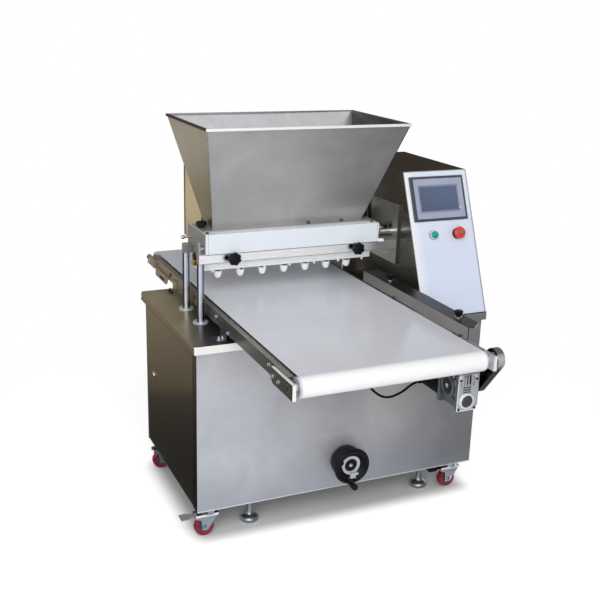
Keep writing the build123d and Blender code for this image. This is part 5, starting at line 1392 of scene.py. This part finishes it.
class DEPOSITOR_OT_conveyor(bpy.types.Operator):
    """Belt, rails, plates, brackets, rollers, tray guide and their bolts"""
    bl_idname = "depositor.conveyor"
    bl_label = "Conveyor"

    def execute(self, context):
        soft = context.scene.depositor_sizes.edge
        dressed("belt", "belt_white", 0.7)
        dressed("conveyor_rails", facing("rail_olive", "rail_olive", "rail_top"), soft)

        def plate_pick(normal, centre):
            # Low faces in black, the right plate's inner face in the rollers' pale tone, rear faces tan, front edges
            # white, sides darker and the rest cream: painted light and shade by side.
            if centre.z < 672:
                return "guard_inside"
            if normal.x < -SQUARE_ON and centre.x > 100:
                return "roller_pale"
            if centre.y > 300:
                return "tan_steel"
            if normal.y < -SQUARE_ON:
                return "edge_white"
            return "steel_dull" if abs(normal.x) > SQUARE_ON else "lip_cream"

        def bracket_pick(normal, centre):
            # Tan on the rear left and darker steel elsewhere: painted reflection and painted shade.
            return "tan_steel" if centre.y > 100 and centre.x < 0 else "steel_dull"

        dressed("bearing_plates", plate_pick, soft)
        dressed("conveyor_brackets", bracket_pick, soft)
        dressed("drive_roller", "roller_pale", 0.6)
        dressed("tail_roller", "roller_pale", 0.6)
        dressed("tray_guide", facing("steel_dark", "steel_y", "guide_top", "guide_tan"), soft)
        inset = Shape()
        # Black blocks behind the rear plate's slot and hole stand in for shade: painted shade; the white tab is a
        # painted highlight.
        inset.block((-392.6, 600, 684), (-391.1, 684, 713), "guard_inside", 0.2)
        inset.block((-389, -618, 716), (-377, -608, 721), "edge_white", 1.0)
        inset.block((-375.2, -600, 716), (-372.2, 600, 721.5), "rail_top", 0.4)
        inset.block((-390.8, 470, 660), (-388, 530, 681.6), "guard_inside", 0.3)
        inset.done("rail_insets", "base")
        places, nuts, rear, rear_nuts = [], [], [], []
        for face, way, front in ((RAIL_LEFT, LEFT, (-507, -81)), (RAIL_RIGHT, RIGHT, (-525, -40))):
            out = way[0]
            places += [((face + out * 10, y, z), way) for y, z in ((-594, 692.7), (-556, 694.7))]
            places += [((face, y, 707), way) for y in front]
            rear += [((face, y, 707), way) for y in (131, 405)]
            rear += [((face + out * 6, 676, 704.7), BACK)]
            rear_nuts += [((face + out * 18, 345 + step, 662), UP) for step in (-11, 11)]
            nuts += [((face + out * 21, -165, 662), UP), ((face + out * 9, -163, 662), UP)]
        places += [((RAIL_LEFT, -185, 688), LEFT)]
        cap = [((RAIL_LEFT - 10, *ROLLER_AT), LEFT)]
        for name, spots, sizes, wanted, nodes in (
            ("conveyor_bolt_heads", places, RAIL_BOLT, "chrome", ["conveyor_bolts"]),
            ("bracket_nuts", nuts, BRACKET_NUT, "chrome", ()),
            ("rear_bolt_heads", rear, RAIL_BOLT, "oiled_steel", ()),
            ("rear_bracket_nuts", rear_nuts, BRACKET_NUT, "oiled_steel", ()),
            ("roller_shaft_caps", cap, (9.0, 0.6, 4.0, 2.6, 6, 1.8, 0.2), "steel_dull", ()),
        ):
            bolts(name, spots, "base", sizes, wanted, nodes)
        clips = Shape()
        for y in (-540, -155):
            clips.block((176, y - 5, 729.5), (182.5, y + 5, 735), "oiled_steel", 0.8)
        clips.done("guide_clips", "tray_guide")
        screws = Shape()
        for x in (RAIL_LEFT - 6, RAIL_RIGHT + 6):
            screws.lathe([(0, 11), (3.4, 11), (4, 10.2), (4, 0), (0, 0)], (x, 676, 704.7), BACK, "machined", 20)
        screws.done("tension_screws", "base")
        return {"FINISHED"}


class DEPOSITOR_OT_drive(bpy.types.Operator):
    """Gearbox, motor, chain, chain guard and sprocket"""
    bl_idname = "depositor.drive"
    bl_label = "Drive"

    def execute(self, context):
        def gear_pick(normal, centre):
            # The bright area round the hub is a painted highlight; faces turned away from the front and top take a
            # darker copy of the cast metal: painted shade.
            if centre.y < -634.2 and hypot(centre.x - 157, centre.z - 571) < 24 and centre.z < 596:
                return "bright_cast"
            if normal.y < -SQUARE_ON and centre.y > -600:
                return "dark_aluminium"
            return "aluminium" if abs(normal.x) < SQUARE_ON and normal.z > -SQUARE_ON else "dark_aluminium"

        dressed("gearbox", gear_pick, 0.8)
        cap = Shape()
        cap.lathe([(0, 3.4), (12, 3.3), (16, 2.6), (17.6, 1.2), (17.6, 0), (0, 0)], (157, -634, 571), FRONT,
                  "grey_plastic", 44)
        # Black slots are painted shade, the dark ribs darker copies of the cast metal as painted shade, and the bright
        # strips painted highlights.
        for x in (145, 153, 161):
            cap.block((x, -634.4, 622), (x + 4, -632, 650), "guard_inside", 0.4)
        for z in (613, 606, 599):
            cap.block((142, -634.8, z - 1.6), (167, -632, z + 1.6), "dark_aluminium", 0.4)
        cap.block((124.2, -634.6, 544), (127.6, -632, 628), "bright_cast", 0.8)
        cap.block((128, -634.6, 542.6), (186, -632, 545.6), "bright_cast", 0.8)
        for x in (127.5, 175.5):
            cap.block((x, -635.4, 630), (x + 11, -632, 650), "bright_cast", 1.6)
        collar = [(24.5, 0), (30, 0), (31, 1.2), (31, 3.5), (29, 5), (25.5, 5), (24.5, 4), (24.5, 0)]
        cover = [(0, 0.6), (16, 0.6), (23.5, 0.2), (23.5, 0), (0, 0)]
        stub = [(0, 2.6), (5, 2.4), (6.5, 1.6), (6.5, 0), (0, 0)]
        for profile, x, wanted, steps in (
            (collar, 126, "dark_aluminium", 48), (cover, 122, "guard_inside", 48), (stub, 122, "chrome", 28),
        ):
            cap.lathe(profile, (x, *SHAFT_AT), LEFT, wanted, steps)
        cap.done("gearbox_trim", "base")
        corners = [((x, y, z), FRONT) for y, z in ((-633, 549), (-635.4, 637)) for x in (131, 183)]
        corners += [((128, y, z), LEFT) for y in (-612, -554) for z in (634, 576)]
        bolts("gearbox_screws", corners, "base", (3.8, 0.6, 3.2, 2.4, 12, 1.4, 0.2), "oiled_steel")
        dressed("motor", "cable_black", 0.8)

        def guard_pick(normal, centre):
            # Inside faces black and side faces dark as painted shade; the rim takes a painted highlight band.
            out = Vector((0, centre.y + 619.5, centre.z - 651.9))
            if normal.dot(out) < 0 and normal.x < 0.5:
                return "guard_inside"
            if abs(normal.x) > 0.7:
                return "guard_dark"
            return "guard_rim"

        dressed("chain_guard", guard_pick, 0.5)
        dressed("output_sprocket", "oiled_steel", 0.4)
        low, high = (Vector((218, *at)) for at in (SHAFT_AT, ROLLER_AT))
        along = (high - low).normalized()
        across = Vector((0, along.z, -along.y))
        reach = 21.3
        points = []
        for centre, first in ((low, pi / 2), (high, -pi / 2)):
            for i in range(19):
                angle = first + pi * i / 18
                points.append((centre + (along * cos(angle) + across * sin(angle)) * reach) * MM)
        mesh = bpy.data.meshes.new("chain_path")
        mesh.from_pydata(points, [(i, (i + 1) % len(points)) for i in range(len(points))], [])
        grow("chain_links", mesh, chain_tree(), {"Finish": finish("oiled_steel")}, "base", ["chain"])
        return {"FINISHED"}


class DEPOSITOR_OT_handwheel(bpy.types.Operator):
    """Lift handwheel with its dial ring and revolving handle"""
    bl_idname = "depositor.handwheel"
    bl_label = "Handwheel"

    def execute(self, context):
        wheel = Shape()
        rim = [(54 + 8 * cos(a), 8 * sin(a)) for a in (2 * pi * i / 20 for i in range(20))]
        wheel.lathe(rim + rim[:1], HUB, FRONT, "black_plastic", 72)
        # The drum's wide black back stands partly for the real drum and partly for the wheel's shadow on the front
        # sheet: painted shadow in part.
        drum = [(0, -52), (34, -52), (34, -62), (38, -62), (45, -60), (50, -54), (53, -44), (53, -28), (51.5, -8),
                (53, 0), (49, 4), (44, 0), (36, -8), (33.5, -10), (31, -10), (31, -9), (0, -9)]
        wheel.lathe(drum, HUB, FRONT, "black_plastic", 64)
        ring = [(21, -10), (31.5, -10), (32.6, -8.6), (32.6, -6.4), (31.6, -5), (23.6, -5), (22.6, -6), (21, -10)]
        wheel.lathe(ring, HUB, FRONT, "ring_grey", 72, 3, 0.9, 31.0, radians(30))
        bite = (HUB[0] + 37 * cos(radians(160)), -235.6, HUB[2] + 37 * sin(radians(160)))
        wheel.lathe([(0, 0), (7.8, 0), (8, -1), (8, -6), (0, -6)], bite, FRONT, "black_plastic", 28)
        dial = [(0, -7), (8, -7), (10, -7.4), (19, -7.6), (22, -8.2), (22.4, -10), (0, -10)]
        wheel.lathe(dial, HUB, FRONT, "black_plastic", 48)
        wheel.lathe([(0, -5.2), (4, -5.4), (6.4, -6.2), (6.8, -7.4), (0, -7.4)], HUB, FRONT, "chrome", 28)
        wheel.block((9, -245, 162), (38, -237, 180), "ring_grey", 1.6)
        nub = [(0, 3.6), (3.8, 3.4), (4.8, 2.2), (4.8, 0), (0, 0)]
        for x in (0, 33):
            wheel.lathe(nub, (x, -245, 168), FRONT, "black_plastic", 20)
        wheel.lathe([(0, 1.4), (2.0, 1.2), (2.4, 0.4), (2.4, -1), (0, -1)], (0, -248.4, 168), FRONT, "machined", 16)
        wheel.lathe([(0, 0), (10, 0), (10, -295), (0, -295)], (HUB[0], -222, HUB[2]), FRONT, "machined", 28)
        wheel.lathe([(0, 0), (31.5, 0), (17.5, -14), (0, -14)], (HUB[0], 63, HUB[2]), FRONT, "oiled_steel", 36)
        wheel.done("handwheel_set", "handwheel", ["handwheel"])
        grip = Shape()
        grip.lathe(
            [(0, 52), (5, 52), (8, 50.6), (10.2, 47), (10.6, 42), (10.2, 34), (9.4, 24), (8.6, 14), (7.6, 6), (8.0, 3),
             (8.0, 0.5), (0, 0.5)], (0, -250, 159), FRONT, "black_plastic", 40,
        )
        grip.lathe([(0, 1), (3, 1), (3, -20), (0, -20)], (0, -250, 159), FRONT, "machined", 16)
        grip.done("handwheel_grip", "handwheel_handle", ["handwheel_handle"])
        return {"FINISHED"}


class DEPOSITOR_OT_casters(bpy.types.Operator):
    """Swivel casters with brake pedals, and the levelling feet"""
    bl_idname = "depositor.casters"
    bl_label = "Casters"

    def execute(self, context):
        for place, (x, y) in CORNERS.items():
            axle = x - CASTER_TRAIL
            hub = (axle, y, WHEEL_RADIUS)
            # The front right fork takes a lit copy of the zinc: painted light.
            dressed(f"caster_fork_{place}", "zinc_pale" if place == "front_right" else "zinc", 0.5)
            if "front" in place:
                dressed(f"caster_pedal_{place}", "pedal_grey" if "left" in place else "black_paint", 0.5)
                # A white strip along the fork's top fold: painted highlight.
                strip = Shape()
                strip.block((axle - 30.5, y - 17.6, 70.5), (axle + 44.5, y - 16.2, 78), "edge_white", 0.5)
                strip.done(f"caster_highlight_strip_{place}", f"caster_fork_{place}")
            wheel = Shape()
            wheel.lathe(
                [(19, -9), (27, -12), (29.6, -11.4), (31.4, -8), (32, -3), (32, 3), (31.4, 8), (29.6, 11.4), (27, 12),
                 (19, 9), (19, -9)], hub, FRONT, "wheel_red", 56,
            )
            wheel.lathe(
                [(4.05, -12), (9, -12), (9.4, -9.4), (18, -8.4), (20, -9.4), (20, 9.4), (18, 8.4), (9.4, 9.4), (9, 12),
                 (4.05, 12), (4.05, -12)], hub, FRONT, "grey_plastic", 40,
            )
            wheel.done(f"caster_tread_{place}", f"caster_wheel_{place}", [f"caster_wheel_{place}"])
            ends = [((axle, y + side * 17, WHEEL_RADIUS), (0, side, 0)) for side in (-1, 1)]
            axle_nut = (8, 1, 6.6, 4.2, 6, 3.6, 1.5)
            bolts(f"caster_axle_{place}", ends, f"caster_fork_{place}", axle_nut, "zinc")
        feet = Shape()
        pad = [(0, 0), (23, 0), (28, 2), (30.4, 5.5), (31, 9.5), (30, 13.5), (27, 17.5), (22, 20.6), (17, 22.6),
               (13.4, 25.4), (11.6, 30), (9.6, 38), (8.2, 50), (7, 62), (7, 103), (0, 103)]
        nut = [(7, 88), (11.4, 88), (12, 89), (12, 97), (11.4, 98), (7, 98), (7, 88)]
        for x, y in FEET:
            feet.lathe(pad, (x, y, 0), UP, "foot_steel", 44)
            feet.lathe(nut, (x, y, 0), UP, "zinc", 6)
        feet.done("levelling_feet_set", "base", ["levelling_feet"])
        return {"FINISHED"}


class DEPOSITOR_OT_inner(bpy.types.Operator):
    """Finishes for the frame, lift and drives inside the sheets"""
    bl_idname = "depositor.inner"
    bl_label = "Inner Works"

    def execute(self, context):
        for wanted, nodes in {
            "frame_paint": ("base_frame", "lift_yoke"),
            "machined": ("lift_screw", "piston_set"),
            "aluminium": ("bevel_box", "valve_actuator"),
            "steel_x": ("slider_bed",),
        }.items():
            for node in nodes:
                mesh = frame["nodes"][node].data
                mesh.materials.clear()
                mesh.materials.append(finish(wanted))
        return {"FINISHED"}


class DEPOSITOR_PT_panel(bpy.types.Panel):
    """Lists the depositor's pieces and settings"""
    bl_idname = "DEPOSITOR_PT_panel"
    bl_label = "Batter Depositor"
    bl_space_type = "VIEW_3D"
    bl_region_type = "UI"
    bl_category = "Depositor"

    def draw(self, context):
        for operator in OPERATORS:
            self.layout.operator(operator.bl_idname)
        for group in (context.scene.depositor_sizes, context.scene.depositor_colours):
            for name in group.__annotations__:
                self.layout.prop(group, name)


OPERATORS = (
    DEPOSITOR_OT_stage, DEPOSITOR_OT_cable, DEPOSITOR_OT_cabinet, DEPOSITOR_OT_tower, DEPOSITOR_OT_hopper,
    DEPOSITOR_OT_head, DEPOSITOR_OT_knobs, DEPOSITOR_OT_conveyor, DEPOSITOR_OT_drive, DEPOSITOR_OT_handwheel,
    DEPOSITOR_OT_casters, DEPOSITOR_OT_inner,
)
CLASSES = (DepositorSizes, DepositorColours, *OPERATORS, DEPOSITOR_PT_panel)


def register():
    for item in CLASSES:
        bpy.utils.register_class(item)
    bpy.types.Scene.depositor_sizes = bpy.props.PointerProperty(type=DepositorSizes)
    bpy.types.Scene.depositor_colours = bpy.props.PointerProperty(type=DepositorColours)


def unregister():
    del bpy.types.Scene.depositor_sizes
    del bpy.types.Scene.depositor_colours
    for item in reversed(CLASSES):
        bpy.utils.unregister_class(item)


def main():
    register()
    for operator in OPERATORS:
        group, name = operator.bl_idname.split(".")
        getattr(getattr(bpy.ops, group), name)()


if __name__ == "__main__":
    main()
